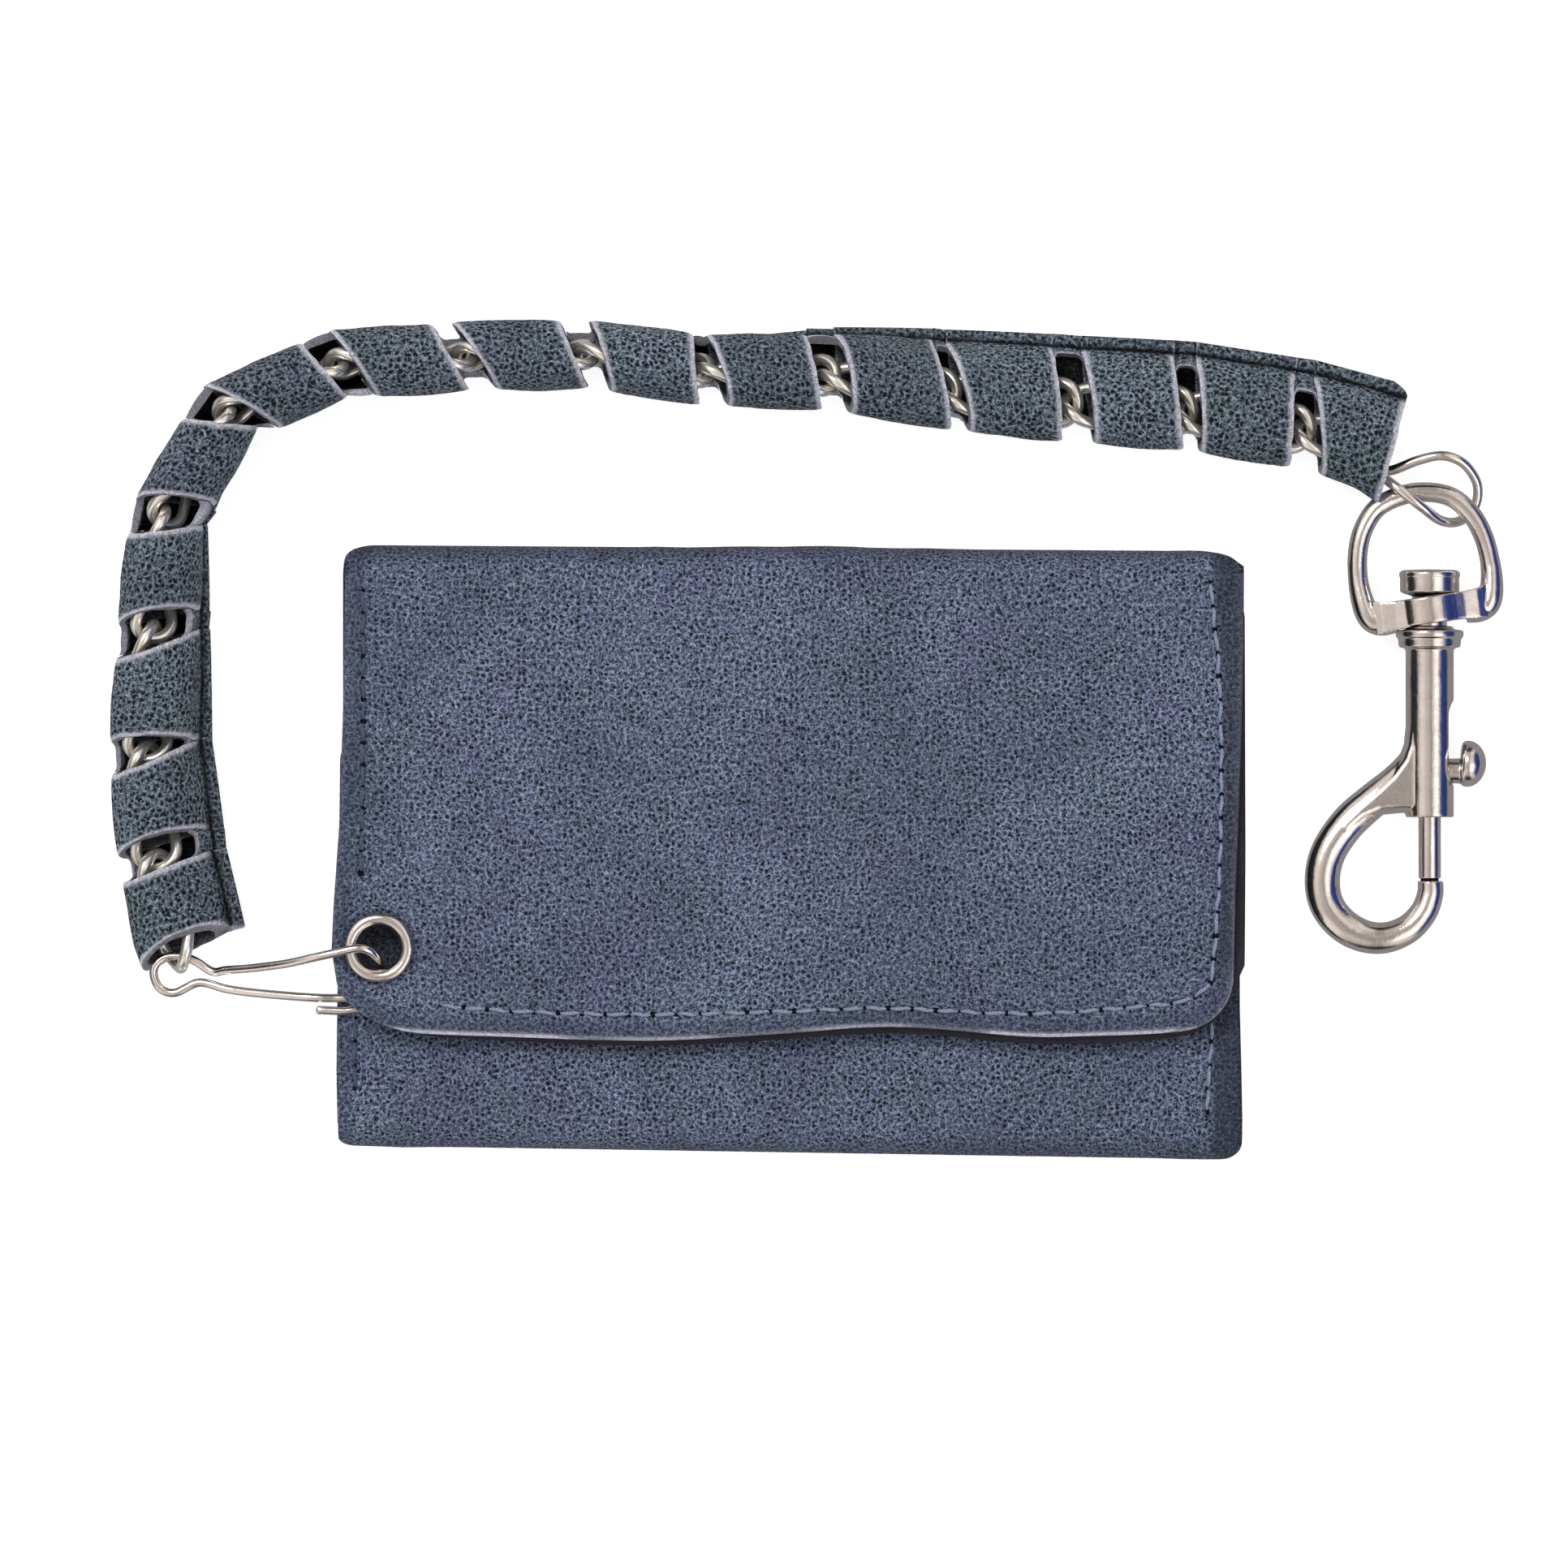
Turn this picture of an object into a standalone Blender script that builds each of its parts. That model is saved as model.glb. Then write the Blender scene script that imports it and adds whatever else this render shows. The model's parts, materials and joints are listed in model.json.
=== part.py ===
"""Closed tri-fold leather wallet with a leather-sleeved chain and a swivel bolt snap.

Frame: +Z up, the wallet lies on its back panel on z = 0, +X along the wallet's
width, +Y towards the fold that carries the flap.  The origin lies on the back
panel's underside, near its centre.  Dimensions are in millimetres; MM turns them
into metres.
"""
import math

import bmesh
import bpy
from mathutils import Matrix, Vector

MM = 0.001

# ---------------------------------------------------------------- driving dimensions
# Each section below adds the dimensions that it alone uses.
LEATHER = 1.4                 # outer leather thickness
FLAP_TOP_Z = 12.3             # top surface of the closed flap
FLAP_ROOT_Y = 34.9            # crease where the flap leaves the +Y fold
FRONT_TOP_Z = 7.9             # top surface of the folded-up front panel
FRONT_ROOT_Y = -34.5          # crease where the front panel leaves the -Y fold
CREASE_GAP = 0.3              # between a crease and the panel that starts there
EYELET_X, EYELET_Y = -51.56, -12.3
SNAP_X, SNAP_Z = 81.0, 4.5    # long axis of the bolt snap, parallel to Y

# ---------------------------------------------------------------- finishes
WALLET_LEATHER = dict(colour=(0.075, 0.090, 0.145), roughness=0.62, metallic=0.0)
STRAP_LEATHER = dict(colour=(0.070, 0.090, 0.105), roughness=0.62, metallic=0.0)
LINING = dict(colour=(0.030, 0.034, 0.045), roughness=0.7, metallic=0.0)
FLAP_LINING = dict(colour=(0.026, 0.028, 0.040), roughness=0.7, metallic=0.0)
NICKEL = dict(colour=(0.72, 0.69, 0.66), roughness=0.16, metallic=1.0)
SPRING_STEEL = dict(colour=(0.55, 0.55, 0.56), roughness=0.3, metallic=1.0)
CUTTER = dict(colour=(0.8, 0.2, 0.2), roughness=0.5, metallic=0.0)


def add_material(name, colour, roughness, metallic):
    mat = bpy.data.materials.new(name)
    mat.use_nodes = True
    shader = mat.node_tree.nodes["Principled BSDF"]
    shader.inputs["Base Color"].default_value = (*colour, 1.0)
    shader.inputs["Roughness"].default_value = roughness
    shader.inputs["Metallic"].default_value = metallic
    mat.diffuse_color = (*colour, 1.0)
    return mat


# ---------------------------------------------------------------- objects
for old in list(bpy.data.objects):
    bpy.data.objects.remove(old, do_unlink=True)

cutter_material = add_material("cutter", **CUTTER)


def add_axis(name, position, parent=None):
    """An empty on a joint's axis; everything that the joint moves hangs from it."""
    empty = bpy.data.objects.new(name, None)
    bpy.context.collection.objects.link(empty)
    empty.empty_display_size = 0.004
    base = Vector((0.0, 0.0, 0.0))
    if parent is not None:
        empty.parent = parent
        base = Vector(parent["world_mm"])
    empty["world_mm"] = [float(value) for value in position]
    empty.location = (Vector(position) - base) * MM
    return empty


def add_mesh(name, shape, mat, body, sharp_deg=None):
    """One closed mesh from (vertices in mm, faces), hung from its body's empty."""
    verts, faces = shape
    base = Vector(body["world_mm"])
    mesh = bpy.data.meshes.new(name)
    mesh.from_pydata([((Vector(vert) - base) * MM)[:] for vert in verts], [], faces)
    bm = bmesh.new()
    bm.from_mesh(mesh)
    bmesh.ops.recalc_face_normals(bm, faces=bm.faces)
    if bm.calc_volume(signed=True) < 0:
        bmesh.ops.reverse_faces(bm, faces=bm.faces)
    bm.to_mesh(mesh)
    bm.free()
    mesh.materials.append(mat)
    if sharp_deg is not None:
        mesh.shade_smooth()
        mesh.set_sharp_from_angle(angle=math.radians(sharp_deg))
    obj = bpy.data.objects.new(name, mesh)
    bpy.context.collection.objects.link(obj)
    obj.parent = body
    return obj


def add_piece(name, shape, finish, body, sharp_deg=None):
    """A visible piece with a material of its own, named like the piece."""
    return add_mesh(name, shape, add_material(name, **finish), body, sharp_deg)


def add_cutter(name, shape, body):
    """A hidden helper for a boolean."""
    obj = add_mesh(name, shape, cutter_material, body)
    obj.hide_render = True
    obj.display_type = "WIRE"
    return obj


def add_boolean(obj, other, operation):
    mod = obj.modifiers.new(operation.lower() + "_" + other.name, "BOOLEAN")
    mod.operation = operation
    mod.solver = "EXACT"
    mod.object = other


# ---------------------------------------------------------------- shapes
def rectangle(x_min, y_min, x_max, y_max):
    return [(x_min, y_min), (x_max, y_min), (x_max, y_max), (x_min, y_max)]


def arc(centre, radii, start_deg, end_deg, steps):
    """Points on an axis-aligned elliptical arc, both ends included."""
    points = []
    for k in range(steps + 1):
        angle = math.radians(start_deg + (end_deg - start_deg) * k / steps)
        points.append((centre[0] + radii[0] * math.cos(angle),
                       centre[1] + radii[1] * math.sin(angle)))
    return points


def prism(outline, z_min, z_max):
    """Flat sheet: an outline in X and Y between two heights."""
    n = len(outline)
    verts = [(x, y, z) for z in (z_min, z_max) for x, y in outline]
    faces = [list(range(n))[::-1], list(range(n, 2 * n))]
    faces += [[i, (i + 1) % n, n + (i + 1) % n, n + i] for i in range(n)]
    return verts, faces


def skin(rings, closed=False):
    """Skin over equal rings of points; open runs get end caps."""
    n = len(rings[0])
    verts = [point for ring in rings for point in ring]
    faces = []
    for k in range(len(rings) if closed else len(rings) - 1):
        here, beyond = k * n, ((k + 1) % len(rings)) * n
        faces += [[here + i, here + (i + 1) % n, beyond + (i + 1) % n, beyond + i]
                  for i in range(n)]
    if not closed:
        faces.append(list(range(n))[::-1])
        faces.append([(len(rings) - 1) * n + i for i in range(n)])
    return verts, faces


def smooth_path(points, steps, closed=False):
    """Catmull-Rom curve through the points."""
    points = [Vector(point) for point in points]
    n = len(points)
    path = []
    for k in range(n if closed else n - 1):
        near, far = points[k], points[(k + 1) % n]
        before = points[k - 1] if (k or closed) else near * 2 - far
        after = points[(k + 2) % n] if (k + 2 < n or closed) else far * 2 - near
        for j in range(steps):
            t = j / steps
            path.append(0.5 * (2 * near + (far - before) * t
                               + (2 * before - 5 * near + 4 * far - after) * t * t
                               + (3 * near - before - 3 * far + after) * t * t * t))
    if not closed:
        path.append(points[-1])
    return path


def square_to(direction, vector):
    """Unit vector: what is left of vector at right angles to a unit direction."""
    return (vector - direction * vector.dot(direction)).normalized()


def any_square_to(direction):
    """A fixed choice of unit vector at right angles to a unit direction."""
    upright = abs(direction.z) >= 0.9
    return square_to(direction, Vector((1, 0, 0)) if upright else Vector((0, 0, 1)))


def circle(centre, radius, first, second, sides, turn=0.0):
    """Points round a circle in the plane of two unit vectors."""
    angles = [2 * math.pi * i / sides + turn for i in range(sides)]
    return [centre + radius * (math.cos(angle) * first + math.sin(angle) * second)
            for angle in angles]


def tube(path, radius, sides, closed=False):
    """Round wire along a path, with frames carried along without twisting."""
    n = len(path)
    tangents = []
    for k in range(n):
        before = path[k - 1] if (k or closed) else path[k]
        after = path[(k + 1) % n] if (k < n - 1 or closed) else path[k]
        tangents.append((after - before).normalized())
    frames = [any_square_to(tangents[0])]
    for tangent in tangents[1:]:
        frames.append(square_to(tangent, frames[-1]))
    # a closed wire spreads the mismatch of its last and first frame over its length
    slip = 0.0
    if closed:
        back = square_to(tangents[0], frames[-1])
        slip = math.atan2(tangents[0].dot(back.cross(frames[0])), back.dot(frames[0]))
    rings = [circle(path[k], radius, frames[k], tangents[k].cross(frames[k]), sides, slip * k / n)
             for k in range(n)]
    return skin(rings, closed)


def lathe(profile, sides, centre, axis, closed=False):
    """Turn a profile of (radius, distance along axis); zero radii become poles."""
    centre, axis = Vector(centre), Vector(axis).normalized()
    first = any_square_to(axis)
    second = axis.cross(first)
    verts, rows, faces = [], [], []
    for radius, distance in profile:
        middle = centre + axis * distance
        if radius < 1e-6:
            points = [middle]
        else:
            points = circle(middle, radius, first, second, sides)
        rows.append(list(range(len(verts), len(verts) + len(points))))
        verts += points
    for k in range(len(rows) if closed else len(rows) - 1):
        here, beyond = rows[k], rows[(k + 1) % len(rows)]
        for i in range(sides):
            j = (i + 1) % sides
            if len(here) == 1:
                faces.append([here[0], beyond[i], beyond[j]])
            elif len(beyond) == 1:
                faces.append([here[i], here[j], beyond[0]])
            else:
                faces.append([here[i], here[j], beyond[j], beyond[i]])
    return verts, faces


def rod_profile(radius, start, end):
    """Lathe profile of a plain solid cylinder."""
    return [(0, start), (radius, start), (radius, end), (0, end)]


# ---------------------------------------------------------------- wallet bodies
wallet = add_axis("axis_wallet", (0, 0, 0))
flap = add_axis("axis_flap_fold", (0, FLAP_ROOT_Y, FLAP_TOP_Z), wallet)
front = add_axis("axis_front_fold", (0, FRONT_ROOT_Y, FRONT_TOP_Z), wallet)

# ---------------------------------------------------------------- back panel
# It carries both folds: its section is a U with a tall arm (the flap's root, on the
# +Y side) and a short arm (the front panel's root, on the -Y side).
# Pairs are (left, right) edge values.
BACK_X = (-56.5, 57.0)
TOP_BULGE = (3.6, 2.8)        # how far the +Y fold bows past its crease
BOTTOM_BULGE = (2.9, 4.7)     # the same for the -Y fold
BACK_RING_SHARES = (0.0, 0.35, 0.7, 1.0)   # section places, as shares of the width
TOP_FOLD_STEPS, BOTTOM_FOLD_STEPS = 11, 9


def back_section(top_bulge, bottom_bulge):
    """Section of the back panel as (y, z) points, outer side first."""
    top_z, bottom_z = FLAP_TOP_Z / 2, FRONT_TOP_Z / 2
    top_centre, bottom_centre = (FLAP_ROOT_Y, top_z), (FRONT_ROOT_Y, bottom_z)
    top_inner = (top_bulge - LEATHER, top_z - LEATHER)
    bottom_inner = (bottom_bulge - LEATHER, bottom_z - LEATHER)
    return (arc(bottom_centre, (bottom_bulge, bottom_z), 90, 270, BOTTOM_FOLD_STEPS)
            + arc(top_centre, (top_bulge, top_z), -90, 90, TOP_FOLD_STEPS)
            + arc(top_centre, top_inner, 90, -90, TOP_FOLD_STEPS)
            + arc(bottom_centre, bottom_inner, 270, 90, BOTTOM_FOLD_STEPS))


def back_panel_shape():
    rings = []
    for share in BACK_RING_SHARES:
        x, top, bottom = (left + (right - left) * share
                          for left, right in (BACK_X, TOP_BULGE, BOTTOM_BULGE))
        rings.append([(x, y, z) for y, z in back_section(top, bottom)])
    return skin(rings)


add_piece("back_panel", back_panel_shape(), WALLET_LEATHER, wallet, sharp_deg=40)

# ---------------------------------------------------------------- inner leaves
# Fixed to the back panel: the bill compartment lies under back_lining, the card slot
# between back_lining and card_pocket.
LINING_HALF_X = 54.5
BACK_LINING_Y = (-33.0, 33.5)
BACK_LINING_Z = (2.0, 2.8)
CARD_POCKET_Z = (3.7, 4.5)
CARD_POCKET_OUTLINE = [       # x, y
    (-54.0, -32.0), (54.0, -32.0), (54.0, 18.0), (46.0, 22.0), (-46.0, 22.0), (-54.0, 18.0),
]


def lining_outline(y_min, y_max):
    return rectangle(-LINING_HALF_X, y_min, LINING_HALF_X, y_max)


add_piece("back_lining", prism(lining_outline(*BACK_LINING_Y), *BACK_LINING_Z), LINING, wallet)
add_piece("card_pocket", prism(CARD_POCKET_OUTLINE, *CARD_POCKET_Z), LINING, wallet)

# ---------------------------------------------------------------- front panel
FRONT_X = (-57.0, 57.2)       # left and right edge
FRONT_END_Y = 14.3            # hidden +Y edge, under the flap
FRONT_CORNER = 2.0            # cut off both +Y corners
FRONT_LINING_START_Y = -33.2
FRONT_LINING_INSET = 1.0      # from the panel's +Y edge
FRONT_LINING_Z = (5.1, 6.2)


def front_outline():
    left, right = FRONT_X
    start_y = FRONT_ROOT_Y + CREASE_GAP
    corner_y = FRONT_END_Y - FRONT_CORNER
    return [(left, start_y), (right, start_y),
            (right, corner_y), (right - FRONT_CORNER, FRONT_END_Y),
            (left + FRONT_CORNER, FRONT_END_Y), (left, corner_y)]


add_piece("front_panel", prism(front_outline(), FRONT_TOP_Z - LEATHER, FRONT_TOP_Z),
          WALLET_LEATHER, front)
add_piece("front_lining",
          prism(lining_outline(FRONT_LINING_START_Y, FRONT_END_Y - FRONT_LINING_INSET),
                *FRONT_LINING_Z),
          LINING, front)

# ---------------------------------------------------------------- flap
# Its -Y edge waves a little, and its left edge swells beside the eyelet.
FLAP_START_Y = FLAP_ROOT_Y - CREASE_GAP
FLAP_OUTLINE = [              # x, y
    (-55.9, FLAP_START_Y), (-56.3, 18.0), (-56.7, 3.0), (-57.4, -7.0), (-57.5, -12.5),
    (-56.7, -16.8), (-55.0, -20.2), (-51.6, -22.1), (-46.2, -23.1), (-35.6, -23.5),
    (-17.6, -23.9), (-2.0, -23.2), (13.1, -22.3), (29.6, -23.4), (46.2, -23.1),
    (52.2, -21.6), (55.2, -19.5), (56.1, -16.8), (56.3, 0.0), (56.5, FLAP_START_Y),
]
FLAP_LINING_Z = (9.95, 10.65)
FLAP_LINING_OUTLINE = [       # x, y
    (-54.4, 33.6), (-54.6, 2.0), (-55.8, -12.5), (-53.6, -18.6), (-50.0, -20.6),
    (-35.0, -21.8), (-17.0, -22.3), (13.0, -20.8), (30.0, -21.8), (46.0, -21.4),
    (53.0, -19.6), (56.4, -16.0), (57.2, 0.0), (57.2, 31.0), (55.6, 33.6),
]
FLAP_CUT_R = 3.4              # hole through both leaves for the eyelet
FLAP_CUT_Z = (8.0, 14.0)

flap_panel = add_piece("flap_panel", prism(FLAP_OUTLINE, FLAP_TOP_Z - LEATHER, FLAP_TOP_Z),
                       WALLET_LEATHER, flap)
flap_lining = add_piece("flap_lining", prism(FLAP_LINING_OUTLINE, *FLAP_LINING_Z),
                        FLAP_LINING, flap)

# ---------------------------------------------------------------- eyelet
# Two pieces: rolled rim and tube from above, flat washer from below.
EYELET_HOLE_R = 2.7
EYELET_TUBE_R = 3.1
EYELET_RIM_R = 4.1
EYELET_PROFILE = [            # radius, z
    (EYELET_HOLE_R, 9.45), (EYELET_TUBE_R, 9.45), (EYELET_TUBE_R, 12.55),
    (EYELET_RIM_R, 12.55), (3.95, 12.85), (3.5, 13.0), (3.05, 12.9), (EYELET_HOLE_R, 12.6),
]
WASHER_PROFILE = [(3.35, 9.4), (4.2, 9.4), (4.2, 9.7), (3.35, 9.7)]   # radius, z


def eyelet_lathe(profile, closed):
    return lathe(profile, 24, (EYELET_X, EYELET_Y, 0), (0, 0, 1), closed)


eyelet_hole = add_cutter("cut_eyelet_hole",
                         eyelet_lathe(rod_profile(FLAP_CUT_R, *FLAP_CUT_Z), closed=False), flap)
for leaf in (flap_panel, flap_lining):
    add_boolean(leaf, eyelet_hole, "DIFFERENCE")
add_piece("eyelet", eyelet_lathe(EYELET_PROFILE, closed=True), NICKEL, flap, sharp_deg=40)
add_piece("eyelet_washer", eyelet_lathe(WASHER_PROFILE, closed=True), NICKEL, flap, sharp_deg=40)

# ---------------------------------------------------------------- strap frames
# Stations are the centres of the fourteen windows between sleeve tubes, with the
# strap's two ends.  The strap rolls over as it turns the corner: the fin angle is
# 0 = outwards in the plane of the table, 90 = straight down, 180 = inwards.
STATIONS = [                  # x, y, fin angle, free gap between neighbouring fins
    (76.05, 50.9, 10, 0), (65.3, 53.8, 11, 1.2), (50.3, 56.2, 14, 1.2),
    (35.7, 57.1, 20, 1.2), (20.3, 58.4, 34, 1.8), (5.0, 60.3, 54, 2.2),
    (-10.7, 60.6, 72, 2.2), (-25.6, 62.5, 85, 2.2), (-40.9, 62.2, 90, 2.2),
    (-57.0, 61.2, 93, 2.4), (-70.9, 54.9, 102, 2.8), (-78.4, 41.9, 117, 3.0),
    (-79.7, 27.6, 132, 1.4), (-80.4, 12.4, 147, 1.2), (-79.1, -1.3, 162, 1.2),
    (-76.3, -13.6, 172, 0),
]
FIN_TIP = 8.2                 # from the strap's axis to the fin's edge
FIN_HALF = 1.3                # half thickness of the fin
TABLE_CLEAR = 4.4             # least height of the strap's axis
CHAIN_OFFSET = 0.8            # the chain sits this far towards the fold of the sleeve
STRAP_END_PIVOT = (-77.05, -13.9)   # x, y where the strap hangs on the wallet ring

SEGMENTS = len(STATIONS) - 1
FIN_ANGLES = [angle for _, _, angle, _ in STATIONS]
FIN_GAPS = [gap for _, _, _, gap in STATIONS]


def station_height(fin_deg):
    """Axis height that keeps the fin off the table."""
    angle = math.radians(fin_deg)
    return max(TABLE_CLEAR, FIN_TIP * math.sin(angle) + FIN_HALF * abs(math.cos(angle)))


AXIS_POINTS = [Vector((x, y, station_height(angle))) for x, y, angle, _ in STATIONS]


def segment_axes(segment, fin_deg):
    """Axis, fin direction and side direction of a segment (1..15) at a fin angle."""
    along = (AXIS_POINTS[segment] - AXIS_POINTS[segment - 1]).normalized()
    outwards = Vector((along.y, -along.x, 0)).normalized()
    down = square_to(along, Vector((0, 0, -1)))
    angle = math.radians(fin_deg)
    fin = (math.cos(angle) * outwards + math.sin(angle) * down).normalized()
    return along, fin, along.cross(fin)


def chain_point(station):
    """Where two links meet at a window, a little towards the fold of the sleeve."""
    _, fin_before, _ = segment_axes(station, FIN_ANGLES[station])
    _, fin_after, _ = segment_axes(station + 1, FIN_ANGLES[station])
    return AXIS_POINTS[station] - (fin_before + fin_after).normalized() * CHAIN_OFFSET


# ---------------------------------------------------------------- wallet ring
# Bent wire, from a hidden end under the flap, round a loop at the strap, back over the
# flap's edge, down through the eyelet and out as a short tail.
WALLET_RING_R = 0.55
WALLET_RING_PATH = [          # x, y, z
    (-54.9, -18.6, 8.65), (-57.2, -18.7, 8.65), (-60.6, -18.6, 8.6), (-67.1, -18.1, 6.9),
    (-71.0, -17.6, 5.8), (-74.5, -16.8, 5.2), (-77.6, -18.1, 5.0), (-79.6, -17.4, 4.9),
    (-80.3, -15.3, 4.9), (-79.2, -13.75, 4.9), (-77.0, -13.45, 4.9), (-75.0, -14.1, 5.0),
    (-72.8, -15.4, 5.3), (-71.0, -15.2, 6.4), (-67.5, -14.9, 8.6), (-63.2, -14.3, 11.3),
    (-59.6, -13.5, 13.1), (-56.5, -12.9, 13.6), (-53.6, -12.4, 13.75), (-52.0, -12.5, 13.3),
    (-51.5, -13.2, 11.6), (-51.4, -13.3, 10.3), (-51.4, -14.2, 8.95), (-51.4, -16.6, 8.65),
    (-53.0, -19.3, 8.65), (-55.6, -20.25, 8.65), (-59.3, -20.2, 8.6),
]

ring_body = add_axis("axis_ring_swing", (EYELET_X, EYELET_Y, FLAP_TOP_Z), flap)
add_piece("wallet_ring", tube(smooth_path(WALLET_RING_PATH, 2), WALLET_RING_R, 8),
          NICKEL, ring_body, sharp_deg=60)

# bodies of the strap, from the wallet ring onwards: segment 15 first, segment 1 last
strap = {SEGMENTS: add_axis("axis_strap_end_pivot", (*STRAP_END_PIVOT, AXIS_POINTS[SEGMENTS].z),
                            ring_body)}
for seg in range(SEGMENTS - 1, 0, -1):
    strap[seg] = add_axis("axis_strap_hinge_%02d" % seg, chain_point(seg), strap[seg + 1])

# ---------------------------------------------------------------- sleeves
# Half outlines of the leather sleeve's section: (towards fin, sideways)
SLEEVE_OUTER = [
    (6.3, 1.3), (4.6, 2.7), (2.6, 3.8), (0.2, 4.4), (-2.2, 4.2), (-4.3, 3.1), (-5.5, 1.6),
    (-5.9, 0.0),
]
SLEEVE_INNER = [
    (4.3, 0.75), (3.6, 1.75), (2.1, 2.75), (0.1, 3.3), (-1.9, 3.1), (-3.6, 2.3), (-4.5, 1.15),
    (-4.8, 0.0),
]
WINDOW = 3.5                  # opening between two sleeve tubes, along the strap
FIRST_INSET = 0.8             # from the strap's first end to its tube
LAST_INSET = 1.6              # from the last tube to the strap's other end


def both_sides(half):
    """Half outline carried on round its mirror image."""
    return half + [(fin, -side) for fin, side in half[-2::-1]]


def sleeve_mesh(segment):
    """Tube of folded leather with its sewn fin, open at both ends.

    The fin alone runs on into the windows and narrows them to the fin gap."""
    origin = AXIS_POINTS[segment - 1]
    length = (AXIS_POINTS[segment] - origin).length
    start, start_run = FIRST_INSET, 0.0
    stop, stop_run = length - LAST_INSET, 0.0
    if segment > 1:
        start, start_run = WINDOW / 2, (WINDOW - FIN_GAPS[segment - 1]) / 2
    if segment < SEGMENTS:
        stop, stop_run = length - WINDOW / 2, (WINDOW - FIN_GAPS[segment]) / 2
    verts, faces = [], []

    def put(distance, section):
        """Add section points at a distance along the segment; return their indices."""
        angle_before, angle_after = FIN_ANGLES[segment - 1:segment + 1]
        fin_deg = angle_before + (angle_after - angle_before) * distance / length
        along, fin, side = segment_axes(segment, fin_deg)
        first = len(verts)
        for to_fin, to_side in section:
            verts.append(origin + along * distance + fin * to_fin + side * to_side)
        return list(range(first, len(verts)))

    outer, inner = both_sides(SLEEVE_OUTER), both_sides(SLEEVE_INNER)
    tip = [(FIN_TIP, -FIN_HALF), (FIN_TIP, FIN_HALF)]
    rows = [(put(distance, outer), put(distance, inner), put(distance, tip))
            for distance in (start, (start + stop) / 2, stop)]

    for (outer_a, inner_a, tip_a), (outer_b, inner_b, tip_b) in zip(rows, rows[1:]):
        ring_a, ring_b = outer_a + tip_a, outer_b + tip_b
        n = len(ring_a)
        faces += [[ring_a[k], ring_a[(k + 1) % n], ring_b[(k + 1) % n], ring_b[k]]
                  for k in range(n)]
        n = len(inner_a)
        faces += [[inner_a[k], inner_b[k], inner_b[(k + 1) % n], inner_a[(k + 1) % n]]
                  for k in range(n)]

    # end faces of the tube wall, then the fin's end or its run into the window
    for row, run, far_distance in ((rows[0], start_run, start - start_run),
                                   (rows[-1], stop_run, stop + stop_run)):
        rim, bore_rim, tip_row = row
        for k in range(len(rim) - 1):
            faces.append([rim[k], rim[k + 1], bore_rim[k + 1], bore_rim[k]])
        faces.append([rim[-1], rim[0], bore_rim[0], bore_rim[-1]])
        root = [rim[-1], tip_row[0], tip_row[1], rim[0]]
        if run <= 0:
            faces.append(root)
            continue
        far = put(far_distance, [outer[-1], tip[0], tip[1], outer[0]])
        faces += [[root[k], root[(k + 1) % 4], far[(k + 1) % 4], far[k]] for k in range(4)]
        faces.append(far)
    return verts, faces


for seg in range(1, SEGMENTS + 1):
    add_piece("sleeve_segment_%02d" % seg, sleeve_mesh(seg), STRAP_LEATHER, strap[seg],
              sharp_deg=35)

# ---------------------------------------------------------------- chain links
LINK_WIRE = 1.5               # wire diameter
LINK_WIDTH = 5.2              # between the wire centres
LINK_PLAY = 0.4               # free play at each pair of links
LINK_LEAD = (LINK_WIRE + LINK_PLAY) / 2   # how far a link's wire centre passes its joint
FIRST_LINK_SPAN = 7.0         # joint to joint, from the end ring to the first window
LAST_LINK_END = (-77.05, -14.0, 4.9)      # joint on the wallet ring's wire


def link_mesh(start, end, fin, start_deg, end_deg):
    """Twisted oval link from joint to joint.

    fin is the zero direction of its width; its plane turns between the two angles."""
    along = (end - start).normalized()
    fin = square_to(along, fin)
    side = along.cross(fin)
    origin = start - along * LINK_LEAD
    total = (end + along * LINK_LEAD - origin).length
    radius = LINK_WIDTH / 2
    # flat loop of (distance along, across): two half circles and two mid points
    loop = arc((total - radius, 0), (radius, radius), -90, 90, 4)
    loop.append((total / 2, radius))
    loop += arc((radius, 0), (radius, radius), 90, 270, 4)
    loop.append((total / 2, -radius))
    centres, normals = [], []
    for distance, across in loop:
        angle = math.radians(start_deg + (end_deg - start_deg) * distance / total)
        lateral = math.cos(angle) * fin + math.sin(angle) * side
        centres.append(origin + along * distance + lateral * across)
        normals.append(-math.sin(angle) * fin + math.cos(angle) * side)
    rings = []
    for k, centre in enumerate(centres):
        tangent = (centres[(k + 1) % len(centres)] - centres[k - 1]).normalized()
        first = square_to(tangent, normals[k])
        rings.append(circle(centre, LINK_WIRE / 2, first, tangent.cross(first), 6))
    return skin(rings, closed=True)


def chain_links():
    """Links as (segment, start joint, end joint, plane angle at start, at end)."""
    along, _, _ = segment_axes(1, 0)
    links = [(1, chain_point(1) - along * FIRST_LINK_SPAN, chain_point(1), 0, 45)]
    for segment in range(2, SEGMENTS):
        start, end = chain_point(segment - 1), chain_point(segment)
        middle = (start + end) / 2
        links.append((segment, start, middle, -45, 45))
        links.append((segment, middle, end, -45, 45))
    # one long link ends round the wallet ring's wire
    links.append((SEGMENTS, chain_point(SEGMENTS - 1), Vector(LAST_LINK_END), -45, 90))
    return links


for number, (seg, joint_a, joint_b, angle_a, angle_b) in enumerate(chain_links(), start=1):
    _, fin_direction, _ = segment_axes(seg, (FIN_ANGLES[seg - 1] + FIN_ANGLES[seg]) / 2)
    add_piece("chain_link_%02d" % number,
              link_mesh(joint_a, joint_b, fin_direction, angle_a, angle_b),
              NICKEL, strap[seg], sharp_deg=60)

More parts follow.
